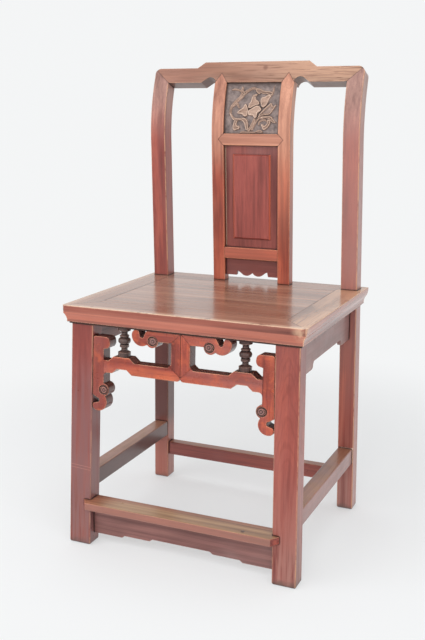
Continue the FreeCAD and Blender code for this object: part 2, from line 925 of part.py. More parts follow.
def stile_notch():
    """Recess in the crest rail for a stile's point."""
    gap = S.joint_clearance
    top = S.crest_shoulder + S.crest_rise
    slab = back_slab("stile_notch_side", ZERO - TOOL_REACH, S.stile_depth + gap, seat_side_x, top)
    return common("stile_notch", face_prism("stile_notch_face", stile_outline(gap)), slab)


def mid_rail_outline(grow):
    """Front view of the middle rail with its pointed ends."""
    low = mid_rail_z - grow
    high = mid_rail_z + S.mid_rail_height + grow
    tip = (stile_inner_x + S.mid_rail_point + grow, (low + high) / 2)
    return symmetric([(stile_inner_x, low), tip, (stile_inner_x, high)])


def splat_mid_rail(tools):
    slab = back_slab("mid_rail_side", ZERO, S.stile_depth, seat_side_x, S.crest_shoulder)
    blank = common("mid_rail", face_prism("mid_rail_face", mid_rail_outline(ZERO)), slab)
    finish("splat_mid_rail", cut("mid_rail", blank, tools))


def splat_lower_rail(tools):
    low = lean_height(lower_rail_z)
    outline = rectangle((-stile_inner_x, low), (stile_inner_x, low + S.lower_rail_height))
    rail = prism("lower_rail", "XZ_Plane", ZERO, S.stile_depth, outline, lean_frame)
    whole = fuse("lower_rail", [rail] + both_sides([lower_rail_tenon]))
    finish("splat_lower_rail", cut("lower_rail", whole, tools))


def carved_panel_slab(name, grow):
    """The carved panel's curved board, whose edges enter the stiles, the middle rail and the crest."""
    front = S.carved_panel_recess - grow
    back = S.carved_panel_recess + S.carved_panel_thickness + grow
    half_width = stile_inner_x + S.panel_tongue + grow
    low = mid_rail_z + S.mid_rail_height - S.panel_tongue - grow
    slab = back_slab("%s_side" % name, front, back, seat_side_x, S.crest_shoulder)
    outline = rectangle((-half_width, low), (half_width, crest_z + grow))
    return common(name, face_prism("%s_face" % name, outline), slab)


def raised_panel_board(name, grow):
    """The raised panel's board, whose edges enter the stiles and both rails."""
    half_width = stile_inner_x + S.panel_tongue + grow
    low = lean_height(lower_rail_z) + S.lower_rail_height - S.panel_tongue - grow
    high = lean_height(mid_rail_z) + S.panel_tongue + grow
    outline = rectangle((-half_width, low), (half_width, high))
    depth = S.raised_panel_thickness + grow * 2
    return prism(name, "XZ_Plane", S.raised_panel_recess - grow, depth, outline, lean_frame)


def raised_panel():
    """Flat panel with a raised field whose edges are bevelled."""
    board = raised_panel_board("raised_panel", ZERO)
    half_width = stile_inner_x - S.raised_field_margin
    low = lean_height(lower_rail_z) + S.lower_rail_height + S.raised_field_margin
    high = lean_height(mid_rail_z) - S.raised_field_margin
    sketch = new_sketch(board, "XZ_Plane", S.raised_panel_recess)
    draw_outline(sketch, rectangle((-half_width, low), (half_width, high)))
    field = board.newObject("PartDesign::Pad", "raised_field")
    field.Profile = sketch
    bind(field, "Length", S.raised_field_rise)
    bind(field, "TaperAngle", ZERO - S.raised_field_bevel)
    doc.recompute()
    finish("raised_panel", board)


def splat_apron_outline():
    """Scalloped lower edge, with tongues at the ends that enter the stiles."""
    top = lean_height(lower_rail_z)
    low = top - S.splat_apron_height
    notch = stile_inner_x - S.scallop_end
    return symmetric([
        (ZERO, low + S.scallop_cusp),
        Arc(S.scallop_radius, LEFT),
        (S.scallop_lobe_start, low + S.scallop_lobe_rise),
        (notch - S.scallop_notch_run, low + S.scallop_notch),
        (notch, low),
        (stile_inner_x + S.panel_tongue, low),
        (stile_inner_x + S.panel_tongue, top),
    ])


def splat_apron():
    outline = splat_apron_outline()
    finish("splat_apron", prism(
        "splat_apron", "XZ_Plane", S.splat_apron_recess, S.splat_apron_thickness, outline, lean_frame))


def splat_apron_groove():
    """Groove in a stile for the end of the splat apron."""
    gap = S.joint_clearance
    top = lean_height(lower_rail_z)
    low = (ZERO, S.splat_apron_recess - gap, top - S.splat_apron_height - gap)
    end = stile_inner_x + S.panel_tongue + gap
    high = (end, S.splat_apron_recess + S.splat_apron_thickness + gap, top + gap)
    return block("splat_apron_groove", low, high, lean_frame)


def edge_section(outer, inner):
    """Section of a seat rail: a rounded band, a shallow cove, a square fillet and a quirk under it."""
    top = S.seat_height
    band = top - S.edge_band
    fillet = outer - S.edge_cove_inset
    quirk = underside + S.edge_quirk_height
    return [
        (inner, underside),
        (fillet - S.edge_quirk_depth, underside),
        (fillet - S.edge_quirk_depth, quirk),
        (fillet, quirk),
        (fillet, quirk + S.edge_fillet),
        Arc(S.edge_cove_radius, RIGHT),
        (outer - S.edge_band_inset, band),
        Arc(S.edge_band_radius, LEFT),
        (outer, top - S.edge_round),
        Arc(S.edge_round, LEFT),
        (outer - S.edge_round, top),
        (inner, top),
    ]


def mitred_rail(name, role, half_length, middle, section, plan):
    """A moulded bar with its ends cut to a plan outline."""
    bar = prism("%s_bar" % name, role, middle - half_length, half_length * 2, section)
    top = S.seat_thickness + TOOL_REACH * 2
    return common(name, bar, prism("%s_plan" % name, "XY_Plane", underside - TOOL_REACH, top, plan))


def seat_rail_front(tools):
    section = flipped(edge_section(S.seat_front, S.seat_front - S.front_rail_width))
    plan = symmetric([
        (seat_side_x, seat_front_y),
        (panel_side_x, seat_front_y + S.side_rail_width),
        (panel_side_x, panel_front_y),
    ])
    rail = mitred_rail("front_rail", "YZ_Plane", seat_side_x, ZERO, section, plan)
    whole = fuse("front_rail", [rail] + both_sides([front_frame_tenon]))
    finish("seat_rail_front", cut("front_rail", whole, tools))


def seat_rail_back(tools):
    section = edge_section(seat_back_y, panel_back_y)
    plan = symmetric([
        (panel_side_x, panel_back_y),
        (panel_side_x, seat_back_y - S.side_rail_width),
        (seat_side_x, seat_back_y),
    ])
    rail = mitred_rail("back_rail", "YZ_Plane", seat_side_x, ZERO, section, plan)
    whole = fuse("back_rail", [rail] + both_sides([back_frame_tenon]))
    finish("seat_rail_back", cut("back_rail", whole, tools))


def seat_rail_sides(tools):
    plan = [
        (panel_side_x, seat_front_y + S.side_rail_width),
        (seat_side_x, seat_front_y),
        (seat_side_x, seat_back_y),
        (panel_side_x, seat_back_y - S.side_rail_width),
    ]
    section = edge_section(seat_side_x, panel_side_x)
    middle = (seat_front_y + seat_back_y) / 2
    rail = mitred_rail("side_rail", "XZ_Plane", S.seat_depth / 2, middle, section, plan)
    finish_pair("seat_rail", cut("side_rail", rail, tools))


def seat_panel():
    """Floating panel, flush with the frame, with a tongue all round."""
    gap = S.seat_panel_gap
    low = (gap - panel_side_x, panel_front_y + gap, panel_low_z)
    high = (panel_side_x - gap, panel_back_y - gap, S.seat_height)
    finish("seat_panel", fuse("seat_panel", [block("seat_panel_board", low, high), panel_tongue]))


def panel_tongue_joint():
    reach = S.seat_panel_tongue
    low = (ZERO - panel_side_x - reach, panel_front_y - reach, panel_low_z)
    high = (panel_side_x + reach, panel_back_y + reach, panel_low_z + S.seat_tongue_thickness)
    return joint("seat_panel", low, high)


def seat_brace():
    """Bar across the panel's underside, tenoned into the front and back rails."""
    half_width = S.seat_brace_width / 2
    low = (-half_width, panel_front_y, panel_low_z - S.seat_brace_height)
    high = (half_width, panel_back_y, panel_low_z)
    finish("seat_brace", fuse("seat_brace", [block("seat_brace_bar", low, high), brace_tenon]))


def scroll(boss, inset, cusp, belly_radius, wall):
    """Outline of a carved scroll, as distances along an arm and in from its free edge.

    A lobe round the boss comes first, then the belly and tip of a hook that curls back to the
    wall on the arm's other side, and the notch between hook and arm. wall gives that side's
    distance at a place along the arm.
    """
    lobe = S.scroll_lobe_radius
    start = boss - root(lobe * lobe - inset * inset)
    drop = root(lobe * lobe - cusp * cusp)
    end = boss + S.scroll_reach
    tip = end - S.scroll_tip_radius
    notch = boss + S.scroll_notch
    bottom = wall(notch) - S.scroll_notch_depth
    mouth = boss + S.scroll_notch_mouth
    return [
        (start, ZERO),
        Arc(lobe, LEFT),
        (boss + cusp, inset - drop),
        Arc(belly_radius, LEFT),
        (end, wall(tip) - S.scroll_tip_radius),
        Arc(S.scroll_tip_radius, LEFT),
        (tip, wall(tip)),
        (tip - S.scroll_tip_inset, wall(tip) - S.scroll_tip_drop),
        (notch + S.scroll_notch_radius, bottom),
        Arc(S.scroll_notch_radius, RIGHT),
        (notch, bottom - S.scroll_notch_radius),
        Arc(S.scroll_notch_radius, RIGHT),
        (notch - S.scroll_notch_radius, bottom),
        (mouth, wall(mouth)),
    ]


def carried(outline, move):
    """The outline with every corner moved."""
    return [item if isinstance(item, Arc) else move(*item) for item in outline]


def fret_piece(name, outline):
    return prism(name, "XZ_Plane", ZERO, S.fret_thickness, outline, fret_frame)


def carve_boss_ring(body, centre):
    """Cut the ring round a scroll's boss into the front face."""
    sketch = new_sketch(body, "XZ_Plane", ZERO)
    for index, radius in enumerate((S.boss_ring_radius, S.boss_ring_radius - S.boss_ring_width)):
        place_at = FreeCAD.Vector(number(centre[0]), number(centre[1]), 0)
        sketch.addGeometry(Part.Circle(place_at, FreeCAD.Vector(0, 0, 1), number(radius)), False)
        pin_point(sketch, index, 3, centre)
        pin_radius(sketch, index, radius)
    ring = body.newObject("PartDesign::Pocket", "%s_ring" % body.Name)
    ring.Profile = sketch
    bind(ring, "Length", S.boss_ring_depth)
    doc.recompute()


def fret_upper_arms():
    """Arm under the seat frame, mitred to the centre post, with a scroll at its end."""
    free_edge = ZERO - S.fret_arm_height
    outline = [(ZERO, ZERO), (S.fret_post_width, free_edge)]
    boss = bracket_edge_x - S.arm_boss
    motif = scroll(boss, ZERO, S.arm_cusp, S.arm_belly_radius, lambda along: S.fret_arm_height)
    outline += carried(motif, lambda along, out: (along, out + free_edge))
    arm = fret_piece("fret_upper_arm", outline)
    carve_boss_ring(arm, (boss, free_edge))
    finish_pair("fret_upper_arm", arm)


def fret_center_posts():
    """Upright at the middle of the fretwork, mitred to both arms."""
    chamfer = S.fret_corner_chamfer
    opening = ZERO - S.fret_lower_top
    finish_pair("fret_center_post", fret_piece("fret_center_post", [
        (ZERO, ZERO),
        (ZERO, opening - S.fret_lower_height + S.fret_toe_radius),
        (S.fret_post_width + chamfer / 2, opening + chamfer / 2),
        (S.fret_post_width, opening + chamfer),
        (S.fret_post_width, ZERO - S.fret_arm_height),
    ]))


def fret_lower_arms(tools):
    """Arm with a hump under the baluster, from the centre post to the leg bracket."""
    chamfer = S.fret_corner_chamfer
    toe = S.fret_toe_radius
    top = ZERO - S.fret_lower_top
    low = top - S.fret_lower_height
    fall = bracket_edge_x - S.hump_end - S.hump_slope
    rise = fall - S.hump_length
    under = rise + S.hump_underside_shift
    under_end = under + S.hump_underside_length
    arm = fret_piece("fret_lower_arm", [
        (S.fret_post_width + chamfer / 2, top + chamfer / 2),
        (ZERO, low + toe),
        Arc(toe, LEFT),
        (toe, low),
        (under - S.hump_slope, low),
        (under, low + S.hump_height),
        (under_end, low + S.hump_height),
        (under_end + S.hump_slope, low),
        (bracket_edge_x - toe, low),
        Arc(toe, RIGHT),
        (bracket_edge_x, low - toe),
        (bracket_edge_x, top),
        (fall + S.hump_slope, top),
        (fall, top + S.hump_height),
        (rise, top + S.hump_height),
        (rise - S.hump_slope, top),
        (S.fret_post_width + chamfer, top),
    ])
    finish_pair("fret_lower_arm", cut("fret_lower_arm", arm, tools))


def fret_leg_line(down):
    """Inner face of the leg at a distance down the fretwork."""
    return leg_inner_x(underside - down * cosine(fret_frame.tilt)) - S.joint_clearance


def fret_leg_brackets():
    """Bracket down the leg with a knob at its top and a scroll at its foot."""
    edge = bracket_edge_x
    top = ZERO - S.bracket_top
    corner = S.bracket_corner
    knob = edge - S.bracket_knob
    inset = S.bracket_boss_inset
    motif = scroll(
        S.bracket_boss, inset, S.bracket_cusp, S.bracket_belly_radius,
        lambda along: fret_leg_line(along) - edge)
    outline = carried(motif, lambda along, out: (edge + out, ZERO - along))
    outline += [
        (fret_leg_line(S.bracket_top + corner), top - corner),
        Arc(corner, LEFT),
        (fret_leg_line(S.bracket_top) - corner, top),
        (knob + S.bracket_knob_radius, top),
        Arc(S.bracket_knob_radius, LEFT),
        (knob, top - S.bracket_knob_radius),
        Arc(S.bracket_knob_cheek, LEFT),
        (knob + S.bracket_knob_foot, top - S.bracket_knob_height),
        (edge, top - S.bracket_knob_height - S.bracket_knob_foot / 2),
    ]
    bracket = fret_piece("fret_leg_bracket", outline)
    carve_boss_ring(bracket, (edge + inset, ZERO - S.bracket_boss))
    finish_pair("fret_leg_bracket", bracket)


def balusters():
    """Turned struts between the fretwork's humps and the seat frame."""
    height = S.fret_lower_top - S.hump_height
    collar = S.baluster_collar / 2
    neck = S.baluster_neck / 2
    ring = S.baluster_ring / 2
    waist = (ring + neck) / 2
    groove = S.baluster_groove
    half_bulb = S.baluster_bulb_height / 2
    upper_end = S.baluster_collar_height + S.baluster_cone
    lower_end = height - S.baluster_base_height - S.baluster_cone
    rings = S.baluster_upper_ring + S.baluster_bulb_height + S.baluster_lower_ring
    neck_length = (lower_end - upper_end - rings - groove * 4) / 2
    upper_ring_start = upper_end + neck_length + groove
    bulb_start = upper_ring_start + S.baluster_upper_ring + groove
    bulb_end = bulb_start + S.baluster_bulb_height
    lower_ring_end = bulb_end + groove + S.baluster_lower_ring
    swell = S.baluster_bulb / 2 - waist
    bulb_radius = (half_bulb * half_bulb + swell * swell) / (swell * 2)
    turning = [
        (ZERO, ZERO),
        (collar, ZERO),
        (collar, S.baluster_collar_height),
        (neck, upper_end),
        (neck, upper_ring_start - groove),
        (ring, upper_ring_start),
        (ring, bulb_start - groove),
        (waist, bulb_start),
        Arc(bulb_radius, RIGHT),
        (waist, bulb_end),
        (ring, bulb_end + groove),
        (ring, lower_ring_end),
        (neck, lower_ring_end + groove),
        (neck, lower_end),
        (collar, height - S.baluster_base_height),
        (collar, height),
        (ZERO, height),
    ]

    place_x, place_y, place_z = fret_frame.world(baluster_x, S.fret_thickness / 2, ZERO)
    body = new_body("baluster", Frame(place_y, place_z, fret_frame.tilt, place_x))
    sketch = new_sketch(body, "XZ_Plane", ZERO)
    draw_outline(sketch, carried(turning, lambda radius, down: (radius, ZERO - down)))
    turned = body.newObject("PartDesign::Revolution", "baluster_turning")
    turned.Profile = sketch
    turned.ReferenceAxis = (sketch, ["V_Axis"])
    turned.Angle = 360.0
    doc.recompute()
    finish_pair("baluster", fuse("baluster", [body, baluster_pin]))


def ogee(foot, edge):
    """Points from a bracket's foot up to an apron's lower edge, listed in the order of the places."""
    run = S.apron_ogee
    drop = S.apron_bracket_drop
    radius = (run * run + drop * drop) / (drop * 4)
    middle = ((foot + edge) / 2, (apron_foot_z + apron_low_z) / 2)
    if number(foot) < number(edge):
        return [(foot, apron_foot_z), Arc(radius, LEFT), middle, Arc(radius, RIGHT), (edge, apron_low_z)]
    return [(edge, apron_low_z), Arc(radius, RIGHT), middle, Arc(radius, LEFT), (foot, apron_foot_z)]


def side_aprons():
    """Apron under each side rail, with a bracket at both ends."""
    reach = S.apron_tongue
    front = leg_back_y(apron_foot_z)
    front_foot = front + S.apron_front_bracket
    rear_foot = post_front_y - S.apron_rear_bracket
    outline = [(front - reach, apron_foot_z)]
    outline += ogee(front_foot, front_foot + S.apron_ogee)
    outline += ogee(rear_foot, rear_foot - S.apron_ogee)
    outline += [
        (post_front_y + reach, apron_foot_z),
        (post_front_y + reach, underside),
        (leg_back_y(underside) - reach, underside),
    ]
    finish_pair("side_apron", prism("side_apron", "YZ_Plane", apron_inner_x, S.apron_thickness, outline))


def side_apron_grooves():
    """Grooves for the side apron's ends, in the front leg and in the rear post."""
    gap = S.joint_clearance
    reach = S.apron_tongue + gap
    low = apron_foot_z - gap
    high = underside + gap
    width = S.apron_thickness + gap * 2
    front = prism("side_apron_front_groove", "YZ_Plane", apron_inner_x - gap, width, [
        (leg_back_y(low) - reach, low), (leg_back_y(low) + TOOL_REACH, low),
        (leg_back_y(high) + TOOL_REACH, high), (leg_back_y(high) - reach, high),
    ])
    rear = block(
        "side_apron_rear_groove",
        (apron_inner_x - gap, post_front_y - TOOL_REACH, low),
        (apron_inner_x - gap + width, post_front_y + reach, high),
    )
    return front, rear


def rear_apron():
    """Apron under the back rail, like the side aprons."""
    reach = S.apron_tongue
    foot = rear_inner_x(apron_foot_z) - S.apron_rear_bracket
    half = ogee(foot, foot - S.apron_ogee)
    half += [(rear_inner_x(apron_foot_z) + reach, apron_foot_z), (rear_inner_x(underside) + reach, underside)]
    finish("rear_apron", prism("rear_apron", "XZ_Plane", rear_apron_y, S.apron_thickness, symmetric(half)))


def slanted_groove(name, line, low, high, y, thickness):
    """Groove in a leg's inner face for a tongue that follows the leg's slope."""
    gap = S.joint_clearance
    reach = S.apron_tongue + gap
    return prism(name, "XZ_Plane", y - gap, thickness + gap * 2, [
        (line(low) - TOOL_REACH, low - gap), (line(low) + reach, low - gap),
        (line(high) + reach, high + gap), (line(high) - TOOL_REACH, high + gap),
    ])


def foot_rail():
    """Worn tread between the front legs, lapped over their fronts with slanting ends."""
    face = leg_front_y(S.foot_rail_low)
    inner = leg_inner_x(foot_rail_top_z)
    lap = inner + S.foot_rail_lap
    plan = symmetric([
        (lap - S.foot_rail_bevel, face - S.foot_rail_lip), (lap, face),
        (inner, face), (inner, face + S.foot_rail_seat),
    ])
    lean = (ZERO, S.leg_splay_front / underside, ONE)
    rail = prism("foot_rail", "XY_Plane", S.foot_rail_low, S.foot_rail_thickness, plan, lean=lean)
    front_line = number(face - S.foot_rail_lip / 2)
    long_edge = number(inner)
    round_edges(rail, S.foot_rail_round, lambda edge: edge.BoundBox.XLength > long_edge
                and edge.BoundBox.YMax < front_line)
    finish("foot_rail", fuse("foot_rail", [rail] + both_sides([foot_rail_tenon])))


def foot_rail_apron():
    """Board under the foot rail whose lower edge steps up towards the middle."""
    low = S.foot_apron_low
    step = S.foot_apron_step
    reach = S.apron_tongue
    outline = symmetric([
        (S.foot_apron_inner_step, low + step * 2),
        (S.foot_apron_inner_step + S.foot_apron_slope, low + step),
        (S.foot_apron_outer_step, low + step),
        (S.foot_apron_outer_step + S.foot_apron_slope, low),
        (leg_inner_x(low) + reach, low),
        (leg_inner_x(S.foot_rail_low) + reach, S.foot_rail_low),
    ])
    finish("foot_rail_apron", prism(
        "foot_rail_apron", "XZ_Plane", foot_apron_y, S.foot_apron_thickness, outline))


def side_stretchers():
    """Stretchers between the front and rear legs."""
    low = S.stretcher_low
    high = low + S.stretcher_height
    bar = prism("side_stretcher", "YZ_Plane", stretcher_outer_x - S.stretcher_width, S.stretcher_width, [
        (leg_back_y(low), low), (post_front_y, low), (post_front_y, high), (leg_back_y(high), high),
    ])
    long_edge = number(S.seat_depth) / 3
    round_edges(bar, S.stretcher_round, lambda edge: edge.BoundBox.YLength > long_edge)
    finish_pair("side_stretcher", fuse("side_stretcher", [bar, front_stretcher_tenon, back_stretcher_tenon]))


def rear_stretcher():
    """Stretcher between the rear legs."""
    low = S.rear_stretcher_low
    high = low + S.rear_stretcher_height
    y = post_front_y + S.rear_stretcher_setback
    outline = symmetric([(rear_inner_x(low), low), (rear_inner_x(high), high)])
    bar = prism("rear_stretcher", "XZ_Plane", y, S.rear_stretcher_depth, outline)
    long_edge = number(S.seat_width) / 3
    round_edges(bar, S.stretcher_round, lambda edge: edge.BoundBox.XLength > long_edge)
    finish("rear_stretcher", fuse("rear_stretcher", [bar] + both_sides([rear_stretcher_tenon])))


# Lines that depend on the legs
stretcher_middle_z = S.stretcher_low + S.stretcher_height / 2
stretcher_outer_x = leg_outer_x(stretcher_middle_z) - S.stretcher_setback
apron_inner_x = leg_outer_x(underside) - S.apron_setback - S.apron_thickness
rear_apron_y = post_front_y + S.rear_apron_setback
foot_apron_y = leg_front_y(S.foot_rail_low) + S.foot_apron_setback
bracket_edge_x = leg_inner_x(underside) - S.bracket_width
baluster_x = bracket_edge_x - S.hump_end - S.hump_slope - S.hump_length / 2

# Joints, each as a tenon and its mortise, and the other cutting tools
leg_tenon, leg_mortise = leg_joint()
front_frame_tenon, front_frame_mortise = frame_joint("front_frame", panel_front_y, -1)
back_frame_tenon, back_frame_mortise = frame_joint("back_frame", panel_back_y, 1)
stile_tenon, stile_mortise = stile_joint()
crest_tenon, crest_mortise = crest_joint()
front_stretcher_tenon, front_stretcher_mortise = stretcher_joint(
    "front_stretcher", leg_back_y(stretcher_middle_z))
back_stretcher_tenon, back_stretcher_mortise = stretcher_joint("back_stretcher", post_front_y)
rear_stretcher_tenon, rear_stretcher_mortise = rear_stretcher_joint()
foot_rail_tenon, foot_rail_mortise = foot_rail_joint()
lower_rail_tenon, lower_rail_mortise = lower_rail_joint()
brace_tenon, brace_mortise = brace_joint()
panel_tongue, panel_groove = panel_tongue_joint()
baluster_pin, baluster_hole = baluster_pins()
hole_through_seat = post_hole()
mitre_cutter = mitre_tool()
corner_cutter = corner_tool()
seat_corner_cutter = seat_corner_tool()
apron_front_groove, apron_rear_groove = side_apron_grooves()
rear_apron_groove = slanted_groove(
    "rear_apron_groove", rear_inner_x, apron_foot_z, underside, rear_apron_y, S.apron_thickness)
foot_apron_groove = slanted_groove(
    "foot_apron_groove", leg_inner_x, S.foot_apron_low, S.foot_rail_low, foot_apron_y, S.foot_apron_thickness)
carved_groove = carved_panel_slab("carved_groove", S.joint_clearance)
raised_groove = raised_panel_board("raised_groove", S.joint_clearance)
mid_rail_notch = face_prism("mid_rail_notch", mid_rail_outline(S.joint_clearance))

front_legs([front_stretcher_mortise, foot_rail_mortise, apron_front_groove, foot_apron_groove])
rear_posts([back_stretcher_mortise, rear_stretcher_mortise, apron_rear_groove, rear_apron_groove])
crest_rail(both_sides([corner_cutter, crest_mortise, stile_notch()]) + [carved_groove])
splat_stiles([mid_rail_notch, lower_rail_mortise, carved_groove, raised_groove, splat_apron_groove()])
splat_mid_rail([carved_groove, raised_groove])
splat_lower_rail([raised_groove])
finish("carved_panel", carved_panel_slab("carved_panel", ZERO))
raised_panel()
splat_apron()
seat_rail_front(both_sides([leg_mortise, baluster_hole, seat_corner_cutter]) + [panel_groove, brace_mortise])
seat_rail_back(both_sides([hole_through_seat, stile_mortise]) + [panel_groove, brace_mortise])
seat_rail_sides([
    leg_mortise, front_frame_mortise, back_frame_mortise, hole_through_seat, panel_groove, seat_corner_cutter])
seat_panel()
seat_brace()
fret_center_posts()
fret_upper_arms()
fret_lower_arms([baluster_hole])
fret_leg_brackets()
balusters()
side_aprons()
rear_apron()
foot_rail()
foot_rail_apron()
side_stretchers()
rear_stretcher()

doc.recompute()
for item in doc.Objects:
    if "Invalid" in item.State or "Error" in item.State:
        raise RuntimeError("%s failed to build" % item.Label)
for name, item in finished.items():
    if item.Shape.isNull() or not item.Shape.isValid() or len(item.Shape.Solids) != 1:
        raise RuntimeError("%s is not one sound solid" % name)

os.makedirs("parts", exist_ok=True)
for name, item in finished.items():
    item.Shape.exportStep("parts/%s.step" % name)
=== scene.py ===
"""Looks of the side chair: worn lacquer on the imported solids, the carved relief, the turned buttons and the stage."""
import math
from typing import NamedTuple

import bpy
import numpy as np
from mathutils import Matrix, Vector


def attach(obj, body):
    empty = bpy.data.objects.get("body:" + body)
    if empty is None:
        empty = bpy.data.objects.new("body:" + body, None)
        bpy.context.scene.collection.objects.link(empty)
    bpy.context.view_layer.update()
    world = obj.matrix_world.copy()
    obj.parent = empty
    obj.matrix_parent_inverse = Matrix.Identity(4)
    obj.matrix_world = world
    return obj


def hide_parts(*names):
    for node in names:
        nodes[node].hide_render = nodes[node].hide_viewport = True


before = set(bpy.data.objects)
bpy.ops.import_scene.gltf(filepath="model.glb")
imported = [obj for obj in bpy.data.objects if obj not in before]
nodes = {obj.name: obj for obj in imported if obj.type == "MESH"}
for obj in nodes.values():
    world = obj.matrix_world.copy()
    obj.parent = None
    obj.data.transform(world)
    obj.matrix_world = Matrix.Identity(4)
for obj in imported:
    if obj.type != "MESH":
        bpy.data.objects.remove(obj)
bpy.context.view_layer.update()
scene = bpy.context.scene

MM = 0.001
# how far wear reaches from an edge, how far grime and painted shade reach out of a corner, and grime out of a seam
WEAR_REACH, CORNER_REACH, SEAM_REACH = 2.8 * MM, 14 * MM, 2.4 * MM
FIBRE_HEIGHT = 0.35 * MM
# what the masks of wear, grime and painted shade run between: how far an edge bends, how open a face is, how far a seam
# is
EDGE_WORN, EDGE_SHARP = (0.012, 0.13), (0.04, 0.16)
FACE_OPEN, FACE_SHUT = (0.5, 0.85), (0.62, 0.2)
SEAM_FAR, SEAM_NEAR = (0.94, 1.0), (0.995, 0.86)
CORNER_DIRT_AND_SHADE, SEAM_DIRT, WORN_ROUGHER = 0.85, 0.8, 0.12
EDGE_SAMPLES, ROLL_SAMPLES = 6, 8
# the shift of the figure from one piece to the next, and the turn that lays a grain axis along Z
FIGURE_STEP, NEW_PIECE_SERIAL = (0.37, 0.23, 0.61), 50
AXIS_TURN = {"X": (0.0, -math.pi / 2, 0.0), "Y": (math.pi / 2, 0.0, 0.0), "Z": (0.0, 0.0, 0.0)}


def added(name, data):
    """A new object in the scene."""
    piece = bpy.data.objects.new(name, data)
    scene.collection.objects.link(piece)
    return piece


def rgb(red, green, blue):
    """A display colour, 0 to 255, as the linear colour that the shaders take."""
    linear = [(v / 255 / 12.92) if v <= 10 else ((v / 255 + 0.055) / 1.055) ** 2.4
              for v in (red, green, blue)]
    return (*linear, 1.0)


class Tree:
    """A material's nodes, with short names for the ones used here."""

    def __init__(self, name):
        self.material = bpy.data.materials.new(name)
        self.material.use_nodes = True
        self.nodes = self.material.node_tree.nodes
        self.links = self.material.node_tree.links
        self.shader = self.nodes["Principled BSDF"]
        self.coords = self.made("TexCoord").outputs["Object"]
        self.geometry = self.made("NewGeometry")

    def put(self, socket, value):
        """Links an output to a socket, or sets a plain value on it."""
        if isinstance(value, bpy.types.NodeSocket):
            self.links.new(value, socket)
        else:
            socket.default_value = value

    def made(self, kind, **values):
        """A new node with its inputs linked or set."""
        node = self.nodes.new("ShaderNode" + kind)
        for name, value in values.items():
            self.put(node.inputs[name], value)
        return node

    def math(self, operation, first, second=0.0, clamp=False):
        node = self.made("Math")
        node.operation = operation
        node.use_clamp = clamp
        self.put(node.inputs[0], first)
        self.put(node.inputs[1], second)
        return node.outputs[0]

    def both(self, first, *others):
        """The product of masks."""
        for other in others:
            first = self.math("MULTIPLY", first, other)
        return first

    def either(self, first, second):
        """The greater of two masks."""
        return self.math("MAXIMUM", first, second)

    def inverse(self, mask):
        """1 where the mask is 0, and 0 where it is 1."""
        return self.math("SUBTRACT", 1.0, mask)

    def scaled(self, value, slope, start):
        """A straight line: the value times the slope, from the start up."""
        return self.math("ADD", self.math("MULTIPLY", value, slope), start)

    def vector(self, operation, first, second=(0.0, 0.0, 0.0)):
        node = self.made("VectorMath")
        node.operation = operation
        self.put(node.inputs[0], first)
        self.put(node.inputs[1], second)
        return node.outputs["Value" if operation in ("DOT_PRODUCT", "DISTANCE") else "Vector"]

    def distance(self, place):
        """How far the surface is from a place, in metres."""
        return self.vector("DISTANCE", self.coords, place)

    def axes(self, vector):
        return self.made("SeparateXYZ", Vector=vector).outputs

    def span(self, value, low, high):
        """0 at low and 1 at high, with an eased step between them."""
        node = self.made("MapRange", **{"Value": value, "From Min": low, "From Max": high})
        node.interpolation_type = "SMOOTHSTEP"
        return node.outputs["Result"]

    def mix(self, factor, first, second, kind="RGBA"):
        node = self.made("Mix")
        node.data_type = kind
        self.put(node.inputs["Factor"], factor)
        self.put(node.inputs["A"], first)
        self.put(node.inputs["B"], second)
        return node.outputs["Result"]

    def cover(self, colour, *masks):
        """Lays a colour over what is there, by the product of masks."""
        self.colour = self.mix(self.both(*masks), self.colour, colour)

    def noise(self, vector, scale, detail=4.0, rough=0.55, warp=0.0):
        node = self.made("TexNoise", Vector=vector, Scale=scale, Detail=detail, Roughness=rough, Distortion=warp)
        return node.outputs["Fac"]

    def drawn_out(self, along, stretch, *settings):
        """A noise drawn out along the grain."""
        return self.noise(self.vector("MULTIPLY", along, (1.0, 1.0, stretch)), *settings)

    def ramp(self, factor, stops):
        node = self.made("ValToRGB", Fac=factor)
        points = node.color_ramp.elements
        while len(points) < len(stops):
            points.new(0.5)
        for point, (position, colour) in zip(points, stops):
            point.position = position
            point.color = colour
        return node.outputs["Color"]

    def placed(self, axis, offset):
        """Coordinates whose Z runs along the grain, moved so that no two pieces share a figure."""
        return self.made("Mapping", Vector=self.coords, Rotation=AXIS_TURN[axis], Location=offset).outputs["Vector"]

    def edge(self, radius):
        """How far the surface bends within the radius: 0 on a flat face, about 0.3 at a square edge."""
        node = self.made("Bevel", Radius=radius)
        node.samples = EDGE_SAMPLES
        facing = self.vector("DOT_PRODUCT", node.outputs["Normal"], self.geometry.outputs["Normal"])
        return self.inverse(facing)

    def open_to_light(self, distance):
        """1 on an open face, less in a corner or a carved hollow."""
        node = self.made("AmbientOcclusion", Distance=distance)
        node.samples = EDGE_SAMPLES
        return node.outputs["AO"]

    def rolled(self, radius, share):
        """The surface's normal, turned near edges as if they were rolled over, by a mask."""
        bevel = self.made("Bevel", Radius=radius)
        bevel.samples = ROLL_SAMPLES
        leaning = self.mix(share, self.geometry.outputs["Normal"], bevel.outputs["Normal"], "VECTOR")
        return self.vector("NORMALIZE", leaning)

    def bump(self, height, strength, distance, normal=None):
        node = self.made("Bump", Strength=strength, Distance=distance, Height=height)
        if normal is not None:
            self.put(node.inputs["Normal"], normal)
        self.put(self.shader.inputs["Normal"], node.outputs["Normal"])


